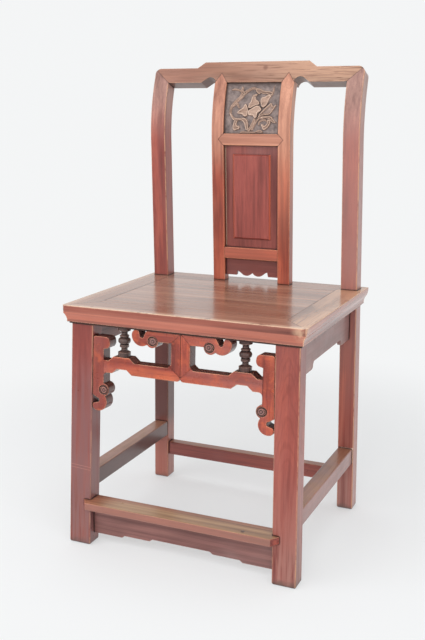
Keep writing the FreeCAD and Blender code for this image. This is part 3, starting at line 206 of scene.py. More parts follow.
class Finish(NamedTuple):
    """How a kind of wood looks."""
    tones: tuple  # from the darkest streak to the lightest
    haze: tuple  # the duller colour that comes and goes in clouds
    worn: tuple  # on rubbed edges
    dirt_and_shade: tuple  # grime in seams, grime and painted shade in corners
    gloss: float  # the wood's roughness
    coat: float  # the clear coat's weight
    polish: float  # the clear coat's roughness
    fibre: float  # strength of the fibres' bump
    wear: float  # share of an edge's wear that shows
    pores: float = 0.4  # share of the pores' dark that shows
    uneven: float = 0.9  # how far the gloss comes and goes
    roll: float = 0.0  # how far the light sees edges rolled over, in metres


FINISH = {
    "lacquer": Finish(
        (rgb(94, 40, 36), rgb(144, 65, 54), rgb(180, 91, 69)),
        rgb(146, 89, 83), rgb(226, 170, 138), rgb(52, 28, 27), 0.33, 0.25, 0.16, 0.2, 0.95, roll=3.0 * MM),
    "fret": Finish(
        (rgb(92, 39, 34), rgb(154, 70, 54), rgb(192, 99, 67)),
        rgb(152, 92, 84), rgb(236, 168, 130), rgb(44, 28, 27), 0.29, 0.35, 0.12, 0.2, 0.7, roll=3.0 * MM),
    "splat": Finish(
        (rgb(108, 48, 39), rgb(164, 78, 58), rgb(194, 104, 74)),
        rgb(172, 98, 78), rgb(222, 150, 110), rgb(56, 30, 27), 0.34, 0.2, 0.15, 0.18, 0.8, roll=2.4 * MM),
    "apron": Finish(
        (rgb(98, 63, 59), rgb(136, 92, 87), rgb(158, 112, 102)),
        rgb(142, 114, 111), rgb(196, 146, 122), rgb(48, 32, 31), 0.38, 0.15, 0.2, 0.22, 0.7),
    # the crest rail's tones and haze are paler and greyer partly as painted sheen
    "crest": Finish(
        (rgb(102, 67, 53), rgb(155, 108, 86), rgb(185, 138, 112)),
        rgb(166, 128, 109), rgb(212, 164, 132), rgb(62, 38, 32), 0.36, 0.2, 0.18, 0.18, 0.6, roll=2.4 * MM),
    "seat": Finish(
        (rgb(104, 69, 55), rgb(150, 107, 87), rgb(176, 131, 106)),
        rgb(158, 122, 104), rgb(224, 182, 150), rgb(62, 40, 34), 0.25, 0.4, 0.13, 0.04, 1.0, pores=0.08, uneven=0.35),
    "panel": Finish(
        (rgb(98, 47, 43), rgb(136, 71, 64), rgb(156, 88, 77)),
        rgb(130, 86, 82), rgb(188, 110, 86), rgb(50, 32, 32), 0.38, 0.2, 0.18, 0.18, 0.5),
    "turning": Finish(
        (rgb(52, 38, 36), rgb(82, 57, 52), rgb(110, 79, 69)),
        rgb(94, 76, 71), rgb(170, 134, 118), rgb(32, 24, 24), 0.22, 0.7, 0.09, 0.12, 0.7),
    "hidden": Finish(
        (rgb(112, 78, 58), rgb(146, 108, 82), rgb(166, 130, 102)),
        rgb(140, 112, 92), rgb(190, 156, 126), rgb(74, 54, 44), 0.6, 0.0, 0.3, 0.35, 0.4),
}

SERIAL = {name: index for index, name in enumerate(sorted(nodes))}


class Wood(Tree):
    """Grain, streaks, pores, worn edges, and corners darkened by grime and painted shade, of one piece of wood."""

    def __init__(self, piece, finish, axis):
        super().__init__("wood_" + piece)
        self.look = FINISH[finish]
        serial = SERIAL.get(piece, NEW_PIECE_SERIAL)
        self.x, self.y, self.z = self.axes(self.coords)
        self.facing_x, self.facing_y, self.facing_z = self.axes(self.geometry.outputs["Normal"])
        self.along = self.placed(axis, [step * serial for step in FIGURE_STEP])
        broad = self.drawn_out(self.along, 0.12, 26.0, 3.0, 0.5, 0.3)
        self.streak = self.drawn_out(self.along, 0.016, 130.0, 3.0, 0.55, 0.4)
        self.pore = self.drawn_out(self.along, 0.012, 900.0, 2.0, 0.6)
        self.patch = self.noise(self.along, 38.0, 5.0, 0.65)
        self.cloud = self.drawn_out(self.along, 0.4, 11.0, 3.0, 0.5)
        half = self.math("MULTIPLY", broad, 0.55)
        self.figure = self.math("ADD", half, self.math("MULTIPLY", self.streak, 0.45))
        self.open_face = self.open_to_light(CORNER_REACH)
        self.seam = self.open_to_light(SEAM_REACH)
        self.across = self.math("ABSOLUTE", self.x)
        self.flush, self.joint_dark = 0.0, 0.8
        self.colour = self.grain(*self.look.tones)
        self.cover(self.look.haze, self.span(self.cloud, 0.44, 0.66), 0.6)
        self.cover(self.look.tones[0], self.span(self.cloud, 0.46, 0.28), 0.45)

    def grain(self, dark, mid, light):
        """The wood's own colours, laid out along the grain."""
        colour = self.ramp(self.figure, [(0.34, dark), (0.5, mid), (0.66, light)])
        pores = self.math("MULTIPLY", self.span(self.pore, 0.5, 0.36), self.look.pores)
        return self.mix(pores, colour, dark)

    def broken(self, low=0.36, high=0.58):
        """A patchy mask, for wear that comes and goes."""
        return self.span(self.patch, low, high)

    def within(self, value, low, high, soft):
        """1 between low and high, fading over soft at each end."""
        return self.both(self.span(value, low - soft, low), self.span(value, high + soft, high))

    def joint(self, *masks):
        """Marks where this piece lies flush against another: no wear there, only a thin dark line."""
        self.flush = self.either(self.flush, self.both(*masks))

    def top(self):
        """1 on the faces that look up."""
        return self.span(self.facing_z, 0.5, 0.8)

    def ring(self, place, inner, outer, soft):
        """1 in a ring round a place."""
        return self.within(self.distance(place), inner, outer, soft)

    def slanted(self, rise, level, reach):
        """1 within reach of a line that rises from the middle of the chair at that level."""
        off = self.math("SUBTRACT", self.z, self.math("MULTIPLY", self.across, rise))
        return self.within(off, level - reach, level + reach, 0.0005)

    def finished(self):
        """Adds edge wear, grime and painted shade in corners, gloss and bump, and gives the material."""
        look = self.look
        edge = self.edge(WEAR_REACH)
        bare = self.inverse(self.flush)
        worn_edge = self.both(self.span(edge, *EDGE_WORN), self.span(self.open_face, *FACE_OPEN),
                              self.span(self.seam, *SEAM_FAR), self.broken(0.27, 0.52), bare, look.wear)
        self.cover(look.worn, worn_edge)
        self.cover(look.dirt_and_shade, self.span(edge, *EDGE_SHARP), self.flush, self.joint_dark)
        # painted shade with the grime: darker where corners and nearby pieces shut a face in
        self.cover(look.dirt_and_shade, self.span(self.open_face, *FACE_SHUT), CORNER_DIRT_AND_SHADE)
        hidden = self.both(self.flush, self.inverse(self.joint_dark))
        seam_dirt = self.both(self.inverse(hidden), SEAM_DIRT)
        self.cover(look.dirt_and_shade, self.span(self.seam, *SEAM_NEAR), seam_dirt)
        self.put(self.shader.inputs["Base Color"], self.colour)
        rough = self.scaled(self.math("SUBTRACT", self.patch, 0.5), look.uneven * look.gloss, look.gloss)
        rough = self.math("ADD", rough, self.math("MULTIPLY", worn_edge, WORN_ROUGHER), clamp=True)
        self.put(self.shader.inputs["Roughness"], rough)
        self.shader.inputs["Coat Weight"].default_value = look.coat
        self.shader.inputs["Coat Roughness"].default_value = look.polish
        fibres = self.math("ADD", self.math("MULTIPLY", self.streak, 0.6), self.math("MULTIPLY", self.pore, 0.4))
        normal = self.rolled(look.roll, bare) if look.roll else None
        self.bump(fibres, look.fibre, FIBRE_HEIGHT, normal)
        return self.material


# Marks of single pieces. Their places are in metres: x from the middle, y to the back, z from the floor.
MITRE = (0.9, 0.7329, 0.004)  # between posts and crest rail: rise, level in the middle, reach
KNOT_PLACE = (0.022, 0.186, 0.941)
CHIP_PLACE = (0.240, -0.192, 0.482)
PEG_PLACE = (0.138, -0.2106, 0.097)
STREAK_SLANT = math.radians(9)


def crest_streaks_and_shade(wood):
    """Thin dark streaks that slant across the rail, closer on the paler right, a small knot, and painted shade on the
    faces that look down, under the arches.
    """
    wood.cover(rgb(200, 162, 136), wood.span(wood.x, -0.02, 0.14), 0.5)
    wood.cover(rgb(160, 114, 100), wood.span(wood.x, -0.06, -0.20), 0.45)
    slant = wood.made("Mapping", Vector=wood.coords, Rotation=(0.0, STREAK_SLANT, 0.0), Scale=(0.04, 1.0, 1.0))
    lines = wood.noise(slant.outputs["Vector"], 380.0, 4.0, 0.6, 0.6)
    right = wood.scaled(wood.span(wood.x, -0.08, 0.10), 0.5, 0.3)
    wood.cover(rgb(98, 62, 46), wood.span(lines, 0.5, 0.64), right)
    # painted shade under the arches, on the faces that look down
    wood.cover(rgb(72, 50, 46), wood.span(wood.facing_z, -0.2, -0.5), 0.75)
    wood.cover(rgb(92, 52, 42), wood.span(wood.distance(KNOT_PLACE), 0.008, 0.002), 0.55)


def crest_joints(wood):
    """The points of the stiles and the mitres with the posts."""
    wood.joint(wood.within(wood.across, 0.0600, 0.0895, 0.001), wood.span(wood.z, 0.936, 0.934))
    wood.joint(wood.slanted(*MITRE))


def post_joints(wood):
    """The mitre with the crest rail."""
    wood.joint(wood.slanted(*MITRE))


def stile_joints(wood):
    """The point let into the crest rail, and the notch for the middle rail's point."""
    wood.joint(wood.span(wood.z, 0.911, 0.912))
    wood.joint(wood.span(wood.across, 0.0755, 0.0745), wood.within(wood.z, 0.782, 0.808, 0.001))


def rail_ends(wood):
    """The splat rails' ends against the stiles."""
    wood.joint(wood.span(wood.across, 0.0592, 0.0602))


def fret_joints(wood):
    """A dark middle line between the two halves, and mitres at the centre posts that hardly show."""
    line = wood.span(wood.across, 0.004, 0.003)
    middle = wood.span(wood.across, 0.027, 0.025)
    wood.joint(line)
    wood.joint(middle, wood.slanted(-1.0, 0.453, 0.005))
    wood.joint(middle, wood.slanted(0.89, 0.368, 0.005))
    wood.joint(wood.span(wood.across, 0.1590, 0.1600))
    wood.joint_dark = wood.scaled(line, 0.6, 0.2)


def bracket_joint(wood):
    """The lower arm's end against the bracket, which hardly shows."""
    wood.joint(wood.within(wood.across, 0.1600, 0.1690, 0.001), wood.within(wood.z, 0.353, 0.395, 0.002))
    wood.joint_dark = 0.2


def fret_patches(wood):
    """The fret's lacquer comes and goes between orange, red and a dull purple."""
    spots = wood.noise(wood.coords, 48.0, 4.0, 0.6)
    wood.cover(rgb(196, 94, 58), wood.span(spots, 0.52, 0.68), 0.4)
    wood.cover(rgb(132, 64, 60), wood.span(spots, 0.48, 0.3), 0.5)


def seat_joints(wood):
    """The seat frame is worn along its outer edge only. The quirk underneath has painted shade, near black."""
    outer = wood.either(wood.span(wood.across, 0.234, 0.237), wood.span(wood.y, -0.184, -0.187))
    wood.joint(wood.inverse(outer))
    quirk = wood.span(wood.z, 0.4574, 0.4567)
    wood.joint(quirk)
    # painted shade in the quirk, under the overhang
    wood.cover(rgb(44, 27, 25), quirk, wood.span(wood.facing_z, -0.9, -0.5), 0.9)


def edge_tones_and_light(wood):
    """The front edge: deep red under the rim to the left, and painted light from the band down into the cove, which
    faces down.
    """
    upright = wood.span(wood.facing_z, 0.6, 0.3)
    left = wood.span(wood.x, 0.20, 0.08)
    wood.cover(rgb(128, 52, 38), upright, left, wood.within(wood.z, 0.4805, 0.4875, 0.003), 0.28)
    # painted light on the cove, which faces down into shade
    wood.cover(rgb(214, 126, 102), upright, wood.within(wood.z, 0.4640, 0.4750, 0.003), 0.4)


def chipped_corner(wood):
    """The seat's front right corner is rubbed to pale wood."""
    near = wood.span(wood.distance(CHIP_PLACE), 0.024, 0.006)
    wood.cover(rgb(222, 184, 152), near, wood.broken(0.34, 0.56), 0.5)


def worn_and_sheen_top(wood):
    """The upper ends, where hands have rubbed the lacquer to bare brown, in paler, greyer tones that are also a painted
    sheen.
    """
    brown = wood.grain(rgb(112, 82, 74), rgb(161, 125, 114), rgb(190, 151, 138))
    # painted sheen with the wear: the bare brown is paler and greyer on the bent upper ends
    wood.cover(brown, wood.span(wood.z, 0.78, 0.90), 0.8)


def worn_and_sheen_splat(wood):
    """Round the carving the lacquer has gone to a warm orange brown, in paler, greyer tones that are also a painted
    sheen.
    """
    brown = wood.grain(rgb(132, 88, 72), rgb(182, 130, 107), rgb(210, 158, 132))
    # painted sheen with the wear: the orange brown is paler and greyer
    wood.cover(brown, wood.span(wood.z, 0.70, 0.80), 0.8)


def seat_frame(wood):
    """Lacquer is left on the moulded edge only. The rim of the top is rubbed pale."""
    red = wood.grain(rgb(106, 62, 54), rgb(155, 95, 81), rgb(188, 125, 102))
    wood.cover(red, wood.span(wood.facing_z, 0.75, 0.45))
    rim_x = wood.span(wood.across, 0.226, 0.247)
    rim_y = wood.span(wood.y, -0.176, -0.197)
    rim = wood.either(wood.both(rim_x, 0.55), rim_y)
    rim = wood.both(rim, wood.span(wood.facing_z, 0.3, 0.7), wood.broken(0.26, 0.52), 0.9)
    wood.cover(rgb(226, 190, 162), rim)


def right_rail(wood):
    """The right rail is rubbed to tan, with dark checks near the front corner."""
    seat_frame(wood)
    top = wood.top()
    wood.cover(rgb(204, 156, 120), top, wood.span(wood.cloud, 0.22, 0.5), 0.75)
    checks = wood.drawn_out(wood.along, 0.03, 300.0, 3.0, 0.65, 0.8)
    front = wood.scaled(wood.span(wood.y, 0.14, -0.12), 0.5, 0.15)
    wood.cover(rgb(84, 56, 46), top, wood.span(checks, 0.53, 0.64), front)


def seat_board_and_sheen(wood):
    """Long soft streaks of pale and dark wood, and a painted grey sheen to the left."""
    stripe = wood.drawn_out(wood.along, 0.03, 34.0, 3.0, 0.5, 0.5)
    wood.cover(rgb(116, 82, 68), wood.span(stripe, 0.5, 0.7), 0.5)
    wood.cover(rgb(190, 147, 121), wood.span(stripe, 0.47, 0.3), 0.45)
    # painted sheen: greyer to the left
    wood.cover(rgb(168, 136, 120), wood.span(wood.x, 0.02, -0.18), 0.3)


def tread(wood):
    """The foot rail's top is worn to bare tan, darker along its back and at its left end."""
    top = wood.top()
    bare = wood.grain(rgb(116, 88, 66), rgb(160, 123, 90), rgb(184, 148, 112))
    middle = wood.both(wood.span(wood.x, -0.19, -0.12), wood.span(wood.y, -0.176, -0.196))
    wood.cover(bare, top, wood.scaled(middle, 0.5, 0.45))
    wood.cover(rgb(151, 115, 102), wood.span(wood.facing_y, -0.6, -0.9), 0.6)
    wood.cover(rgb(40, 28, 24), wood.span(wood.distance(PEG_PLACE), 0.0046, 0.003), 0.9)


def rubbed_top(wood):
    """Stretchers are rubbed to tan along the top."""
    top = wood.top()
    bare = wood.grain(rgb(106, 70, 54), rgb(146, 100, 74), rgb(170, 126, 96))
    wood.cover(bare, top, wood.scaled(wood.broken(), 0.35, 0.5))


def painted_inner_shade(wood):
    """The left stretcher's inner face has painted shade, dark and dull."""
    # painted shade on the inner face
    wood.cover(rgb(70, 52, 51), wood.span(wood.facing_x, 0.5, 0.8), 0.8)


def field_and_border(wood):
    """The raised field is red lacquer, its bevel and border a dull purple brown."""
    up = wood.within(wood.z, 0.5845, 0.7635, 0.001)
    front = wood.span(wood.facing_y, 0.4, 0.0)
    red = wood.grain(rgb(110, 53, 48), rgb(148, 73, 65), rgb(168, 89, 77))
    wood.cover(red, wood.span(wood.across, 0.0432, 0.0418), up, front)
    line = wood.within(wood.across, 0.0405, 0.0425, 0.0012)
    wood.cover(rgb(196, 96, 66), line, up, front, 0.7)
    left = wood.within(wood.x, -0.0608, -0.0590, 0.0006)
    wood.cover(rgb(204, 178, 150), left, front, 0.8)


def dark_sides(wood):
    """Fret: the sawn sides are dark and dull, the front is bright lacquer."""
    wood.cover(rgb(62, 42, 40), wood.span(wood.facing_y, -0.75, -0.35), 0.8)


def feet(wood):
    """Lower legs turn paler and greyer towards the floor, and the feet are scuffed and dirty."""
    ragged = wood.math("ADD", wood.z, wood.math("MULTIPLY", wood.math("SUBTRACT", wood.patch, 0.5), 0.03))
    wood.cover(rgb(156, 112, 102), wood.span(ragged, 0.30, 0.04), wood.span(wood.streak, 0.3, 0.6), 0.75)
    wood.cover(rgb(84, 66, 58), wood.span(ragged, 0.016, 0.002), 0.75)


def rubbed_corners(wood):
    """The upright corners of legs and posts are rubbed pale in places."""
    corner = wood.math("ABSOLUTE", wood.math("MULTIPLY", wood.facing_x, wood.facing_y))
    wood.cover(rgb(208, 160, 126), wood.span(corner, 0.12, 0.4), wood.broken(0.3, 0.55), 0.6)


def in_shade(wood):
    """The left rear leg has painted shade under the seat, darker and duller, on its front and inner faces."""
    inside = wood.either(wood.span(wood.facing_y, -0.4, -0.7), wood.span(wood.facing_x, 0.4, 0.7))
    # painted shade under the seat
    wood.cover(rgb(74, 46, 44), wood.within(wood.z, 0.16, 0.42, 0.05), inside, 0.75)
    wood.cover(rgb(158, 84, 66), wood.span(wood.z, 0.16, 0.11), 0.5)


def arched_grain(wood):
    """The right leg is evener, with a pointed figure on its front: rings of a leaning cone cut by the flat face."""
    wood.cover(rgb(154, 84, 74), wood.within(wood.z, 0.10, 0.34, 0.06), 0.35)
    ring_x = wood.math("SUBTRACT", wood.x, 0.212)
    ring = wood.math("SQRT", wood.scaled(ring_x, ring_x, 0.0004))
    ring = wood.math("ADD", ring, wood.math("MULTIPLY", wood.z, 0.16))
    ring = wood.math("ADD", ring, wood.math("MULTIPLY", wood.cloud, 0.05))
    wave = wood.math("SINE", wood.math("MULTIPLY", ring, 1150.0))
    part = wood.within(wood.z, 0.26, 0.42, 0.05)
    wood.cover(rgb(104, 44, 36), wood.span(wave, 0.3, 1.0), part, 0.22)


def scuffs(wood):
    """The left leg is a duller mauve, with two faint scratches across it."""
    wood.cover(rgb(122, 84, 84), wood.span(wood.z, 0.42, 0.30), wood.span(wood.streak, 0.34, 0.6), 0.8)
    wood.cover(rgb(136, 58, 50), wood.span(wood.z, 0.30, 0.42), 0.3)
    front = wood.span(wood.facing_y, -0.6, -0.9)
    drift = wood.math("ADD", wood.z, wood.math("MULTIPLY", wood.x, 0.05))
    for level in (0.1486, 0.1545):
        line = wood.within(drift, level, level + 0.0003, 0.0005)
        wood.cover(rgb(198, 142, 126), line, front, wood.span(wood.cloud, 0.3, 0.6), 0.5)


def joint_line(wood):
    """A pale line on the right post round the end of the side stretcher, where the finish has cracked."""
    front = wood.span(wood.facing_y, -0.5, -0.85)
    above = wood.both(wood.within(wood.z, 0.1412, 0.1425, 0.0008), wood.span(wood.x, 0.210, 0.214))
    beside = wood.both(wood.within(wood.x, 0.2386, 0.2396, 0.0007), wood.within(wood.z, 0.111, 0.142, 0.003))
    wood.cover(rgb(232, 206, 186), wood.either(above, beside), front, 0.85)


WELD_REACH = 0.01 * MM
FLAT_ANGLE, EDGE_ANGLE = math.radians(0.4), math.radians(32)
EDGE_SEGMENTS = 2
FLAT_WEIGHT = 60


def soften(piece, width):
    """Rounds a solid's edges a little, as handled wood has them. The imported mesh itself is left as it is."""
    weld = piece.modifiers.new("weld", "WELD")
    weld.merge_threshold = WELD_REACH
    flat = piece.modifiers.new("flat", "DECIMATE")
    flat.decimate_type = "DISSOLVE"
    flat.angle_limit = FLAT_ANGLE
    bevel = piece.modifiers.new("edges", "BEVEL")
    bevel.width = width
    bevel.segments = EDGE_SEGMENTS
    bevel.limit_method = "ANGLE"
    bevel.angle_limit = EDGE_ANGLE
    bevel.miter_outer = "MITER_ARC"
    bevel.use_clamp_overlap = True
    normals = piece.modifiers.new("normals", "WEIGHTED_NORMAL")
    normals.mode = "FACE_AREA"
    normals.weight = FLAT_WEIGHT


PIECES = {
    # node: finish, grain axis, edge rounding in mm, marks of its own
    "crest_rail": ("crest", "X", 0.7, [crest_streaks_and_shade, crest_joints]),
    "raised_panel": ("panel", "Z", 0.5, [field_and_border]),
    "splat_apron": ("panel", "X", 0.6, []),
    "splat_mid_rail": ("splat", "X", 0.5, [worn_and_sheen_splat, rail_ends]),
    "splat_lower_rail": ("splat", "X", 0.6, [rail_ends]),
    "seat_rail_front": ("seat", "X", 1.0, [seat_frame, edge_tones_and_light, seat_joints, chipped_corner]),
    "seat_rail_back": ("seat", "X", 1.0, [seat_frame, seat_joints]),
    "seat_rail_left": ("seat", "Y", 1.0, [seat_frame, seat_joints]),
    "seat_rail_right": ("seat", "Y", 1.0, [right_rail, seat_joints, chipped_corner]),
    "seat_panel": ("seat", "X", 0.6, [seat_board_and_sheen, seat_joints]),
    "seat_brace": ("hidden", "Y", 0.8, []),
    "rear_apron": ("apron", "X", 0.8, []),
    "foot_rail": ("lacquer", "X", 1.4, [tread]),
    "foot_rail_apron": ("apron", "X", 0.8, []),
    "rear_stretcher": ("lacquer", "X", 1.2, [rubbed_top]),
}
FRET_MARKS = [fret_patches, dark_sides, fret_joints]
PAIRS = {
    "splat_stile_": ("splat", "Z", 0.5, [worn_and_sheen_splat, stile_joints]),
    "rear_post_": ("lacquer", "Z", 1.6, [worn_and_sheen_top, feet, rubbed_corners, post_joints]),
    "front_leg_": ("lacquer", "Z", 2.0, [feet, rubbed_corners]),
    "side_apron_": ("apron", "Y", 0.8, []),
    "fret_center_post_": ("fret", "Z", 0.8, FRET_MARKS),
    "fret_upper_arm_": ("fret", "X", 0.9, FRET_MARKS),
    "fret_lower_arm_": ("fret", "X", 0.9, FRET_MARKS),
    "fret_leg_bracket_": ("fret", "Z", 0.9, [fret_patches, dark_sides, bracket_joint]),
    "baluster_": ("turning", "Z", 0.0, []),
    "side_stretcher_": ("lacquer", "Y", 1.4, [rubbed_top]),
}
PIECES.update({kind + side: row for side in ("left", "right") for kind, row in PAIRS.items()})
# marks on one side only
OWN_MARKS = {"front_leg_right": arched_grain, "front_leg_left": scuffs, "rear_post_right": joint_line,
             "rear_post_left": in_shade, "side_stretcher_left": painted_inner_shade}

# the middles of the scrolls' bosses, where the buttons sit
RIGHT_BOSSES = {"fret_upper_arm_": (0.0575, -0.1833, 0.4332), "fret_leg_bracket_": (0.1635, -0.1889, 0.3264)}
BOSSES = {kind + side: (sign * x, y, z)
          for kind, (x, y, z) in RIGHT_BOSSES.items() for side, sign in (("left", -1), ("right", 1))}

# age has left some pieces duller, paler or redder than the rest; some tints below are wholly or partly painted light,
# sheen and shade: colour, share, heights between which it comes in
NEAR_FLOOR = (0.0, 0.1)
TINTS = {
    # paler and greyer: painted light on the post where the seat shades it
    "rear_post_right": (rgb(166, 126, 119), 0.5, 0.12, 0.48),
    "rear_post_left": (rgb(128, 74, 70), 0.25),
    "splat_stile_right": (rgb(208, 140, 110), 0.48, 0.5, 0.84),
    "splat_lower_rail": (rgb(198, 118, 96), 0.4),
    "splat_apron": (rgb(92, 56, 55), 0.35),
    "side_stretcher_left": (rgb(192, 158, 148), 0.45),
    # greyer and paler on the right side pieces: painted sheen of the pale surround
    "side_stretcher_right": (rgb(130, 112, 108), 0.4),
    "side_apron_right": (rgb(150, 120, 116), 0.3),
    "rear_stretcher": (rgb(104, 56, 54), 0.4),
    # darker at the top: partly painted shade under the seat's overhang
    "front_leg_right": (rgb(122, 70, 67), 0.45, 0.34, 0.42),
    "front_leg_left": (rgb(112, 70, 69), 0.3),
    "fret_upper_arm_left": (rgb(110, 48, 40), 0.2),
    "fret_leg_bracket_left": (rgb(110, 46, 40), 0.45),
}

for name, (finish, axis, rounding, marks) in PIECES.items():
    piece = nodes[name]
    wood = Wood(name, finish, axis)
    if name in TINTS:
        colour, share, *heights = TINTS[name]
        wood.cover(colour, wood.span(wood.z, *(heights or NEAR_FLOOR)), share)
    for mark in marks:
        mark(wood)
    if name in OWN_MARKS:
        OWN_MARKS[name](wood)
    if name in BOSSES:
        wood.cover(rgb(66, 46, 44), wood.ring(BOSSES[name], 0.0062, 0.0094, 0.0012), 0.9)
    piece.data.materials.clear()
    piece.data.materials.append(wood.finished())
    if rounding:
        soften(piece, rounding * MM)

# The carved panel: a relief on the same bent board. Points are in mm, across from the middle and up along the bend.
BEND_Y, BEND_Z, BOARD_FRONT, BOARD_BACK = 489.9, 803.8, 327.3, 318.3
PANEL_HALF, PANEL_LOW, PANEL_HIGH = 66.5, 802.0, 912.3
# the sunk field inside the plain rim, and the width of the slope between them
FIELD_HALF, FIELD_LOW, FIELD_HIGH, FIELD_SLOPE = 61.0, 807.5, 911.5, 1.0
CELL = 0.5
STEM_WIDER = 1.2
GROOVE_DEPTH, GROOVE_SHARE, GROOVED_HALF, GROOVED_HEIGHT = 1.6, 0.42, 1.3, 0.6
PETAL_SLOPE, LIP_HEIGHT, LIP_PLACE, LIP_WIDTH = 1.1, 0.6, 1.4, 0.9
HOLLOW_START, HOLLOW_SLOPE, SHOW_THROUGH = 1.8, 2.6, 0.4
VEIN_DEPTH, VEIN_WIDTH, VEIN_FULL = 0.9, 0.7, 1.5
TOOL_SEED, TOOL_BLUR, TOOL_DEPTH, TOOL_SHARE, TOOL_FADE = 11, 6, 1.6, 0.35, 1.0
RELIEF_SCALE, RELIEF_BLUR, RELIEF_LOW, RELIEF_HIGH = 1.2, 2, -0.5, 5.4

PETALS = {
    "leaf_right": [(14.4, 37.2), (17.4, 43.7), (22.3, 49.5), (26.7, 54.0), (31.2, 58.1), (36.4, 62.2), (40.4, 66.3),
        (43.6, 65.5), (45.8, 60.6), (48.5, 59.7), (52.7, 64.2), (53.6, 61.0), (50.8, 55.7), (47.0, 50.4),
        (43.4, 45.5), (39.0, 42.0), (31.3, 40.7), (23.6, 40.3), (18.9, 36.8)],
    "leaf_low_right": [(19.0, 34.7), (24.3, 39.3), (32.5, 40.3), (39.3, 40.2), (45.1, 38.4), (48.5, 34.1),
        (52.2, 29.7), (55.7, 25.5), (49.8, 25.2), (44.4, 27.6), (41.1, 31.2), (36.1, 34.0), (29.4, 34.8),
        (24.0, 33.5)],
    "curl_right": [(36.2, 33.2), (41.5, 32.4), (43.9, 28.8), (42.4, 23.1), (39.5, 18.2), (35.6, 14.1), (31.3, 11.2),
        (26.8, 11.0), (24.7, 14.4), (23.1, 18.5), (21.6, 21.3), (23.8, 23.8), (26.9, 22.2), (29.2, 20.6),
        (32.3, 21.8), (34.3, 25.1), (35.3, 28.7)],
    "leaf_top": [(4.9, 96.0), (10.6, 97.2), (16.3, 95.5), (22.2, 92.5), (29.0, 91.2), (38.0, 90.3), (43.9, 88.4),
        (43.5, 83.8), (41.0, 80.7), (34.5, 82.2), (28.7, 84.5), (22.7, 84.3), (17.4, 86.4), (14.4, 83.7),
        (9.4, 86.1), (5.4, 90.5)],
    "leaf_top_left": [(-50.6, 92.5), (-43.9, 96.9), (-35.6, 96.4), (-28.6, 94.1), (-27.0, 98.3), (-25.4, 101.3),
        (-22.5, 98.3), (-21.1, 92.3), (-16.9, 87.2), (-18.1, 81.7), (-23.2, 83.0), (-28.3, 88.5), (-35.1, 91.7),
        (-42.9, 92.4)],
    "scroll_leaf": [(-50.1, 48.0), (-45.8, 45.1), (-41.3, 38.9), (-35.7, 36.0), (-27.8, 35.5), (-19.9, 36.1),
        (-13.0, 35.4), (-8.3, 30.1), (-6.2, 22.3), (-6.1, 11.2), (-11.2, 10.3), (-14.1, 16.5), (-15.7, 23.0),
        (-20.9, 29.1), (-27.7, 30.5), (-32.2, 28.2), (-38.6, 29.0), (-44.3, 34.3), (-48.8, 41.7)],
    "curl_leaf": [(-38.2, 30.7), (-30.9, 29.5), (-32.5, 24.1), (-31.0, 20.0), (-26.9, 19.4), (-24.5, 15.9),
        (-26.7, 12.2), (-32.6, 10.7), (-37.5, 9.0), (-41.5, 12.3), (-41.9, 18.9), (-40.3, 25.1)],
    "mound_left": [(-26.5, 3.6), (-22.0, 8.2), (-14.4, 9.1), (-5.3, 8.4), (5.9, 8.1), (11.6, 5.7), (6.0, 3.6),
        (-9.7, 3.0)],
    "mound_right": [(9.1, 6.5), (12.6, 10.2), (19.2, 11.9), (24.6, 9.9), (27.0, 5.9), (19.4, 4.4)],
    "petal_left": [(-32.5, 46.8), (-29.4, 50.9), (-24.4, 54.0), (-19.9, 57.6), (-18.0, 61.5), (-14.6, 64.6),
        (-10.3, 60.7), (-7.9, 54.1), (-7.7, 46.9), (-8.6, 40.7), (-12.7, 37.8), (-17.7, 38.6), (-20.9, 42.1),
        (-25.9, 43.1), (-30.5, 43.7)],
    "petal_top": [(3.1, 80.8), (-0.9, 80.0), (-2.8, 74.8), (-3.6, 69.6), (-7.2, 64.8), (-8.6, 59.3), (-7.8, 55.3),
        (-2.0, 55.1), (3.4, 58.2), (9.9, 60.9), (13.6, 61.5), (16.3, 63.8), (16.4, 67.5), (12.5, 71.3), (8.5, 73.7),
        (6.6, 79.2)],
    "bud": [(19.0, 63.4), (17.6, 69.6), (18.6, 75.0), (21.6, 78.3), (27.0, 79.3), (32.2, 82.4), (37.9, 83.2),
        (41.7, 80.9), (39.7, 76.6), (37.0, 72.5), (35.5, 67.3), (32.9, 62.0), (28.0, 57.3), (23.3, 56.8),
        (20.3, 59.3)],
    "petal_right": [(-7.7, 51.0), (-3.0, 53.7), (3.4, 57.8), (9.9, 60.9), (16.9, 60.1), (20.0, 56.8), (22.1, 53.1),
        (20.8, 49.7), (16.9, 47.0), (14.2, 45.3), (13.5, 41.6), (12.0, 36.5), (8.6, 34.3), (5.3, 36.5), (2.9, 39.5),
        (-1.0, 40.3), (-6.1, 40.7), (-8.2, 44.8), (-8.4, 48.1)],
    "cap": [(-2.0, 82.1), (3.2, 84.2), (8.8, 85.8), (11.0, 84.0), (8.1, 80.2), (2.6, 79.2)],
}
PETAL_HEIGHT = {"petal_right": 3.4, "petal_top": 2.9, "petal_left": 3.0, "bud": 2.9, "leaf_right": 2.7,
                "leaf_low_right": 2.7, "leaf_top": 2.5, "leaf_top_left": 2.4, "scroll_leaf": 2.8, "curl_leaf": 2.7,
                "curl_right": 2.8, "mound_left": 1.4, "mound_right": 1.4, "cap": 2.2}
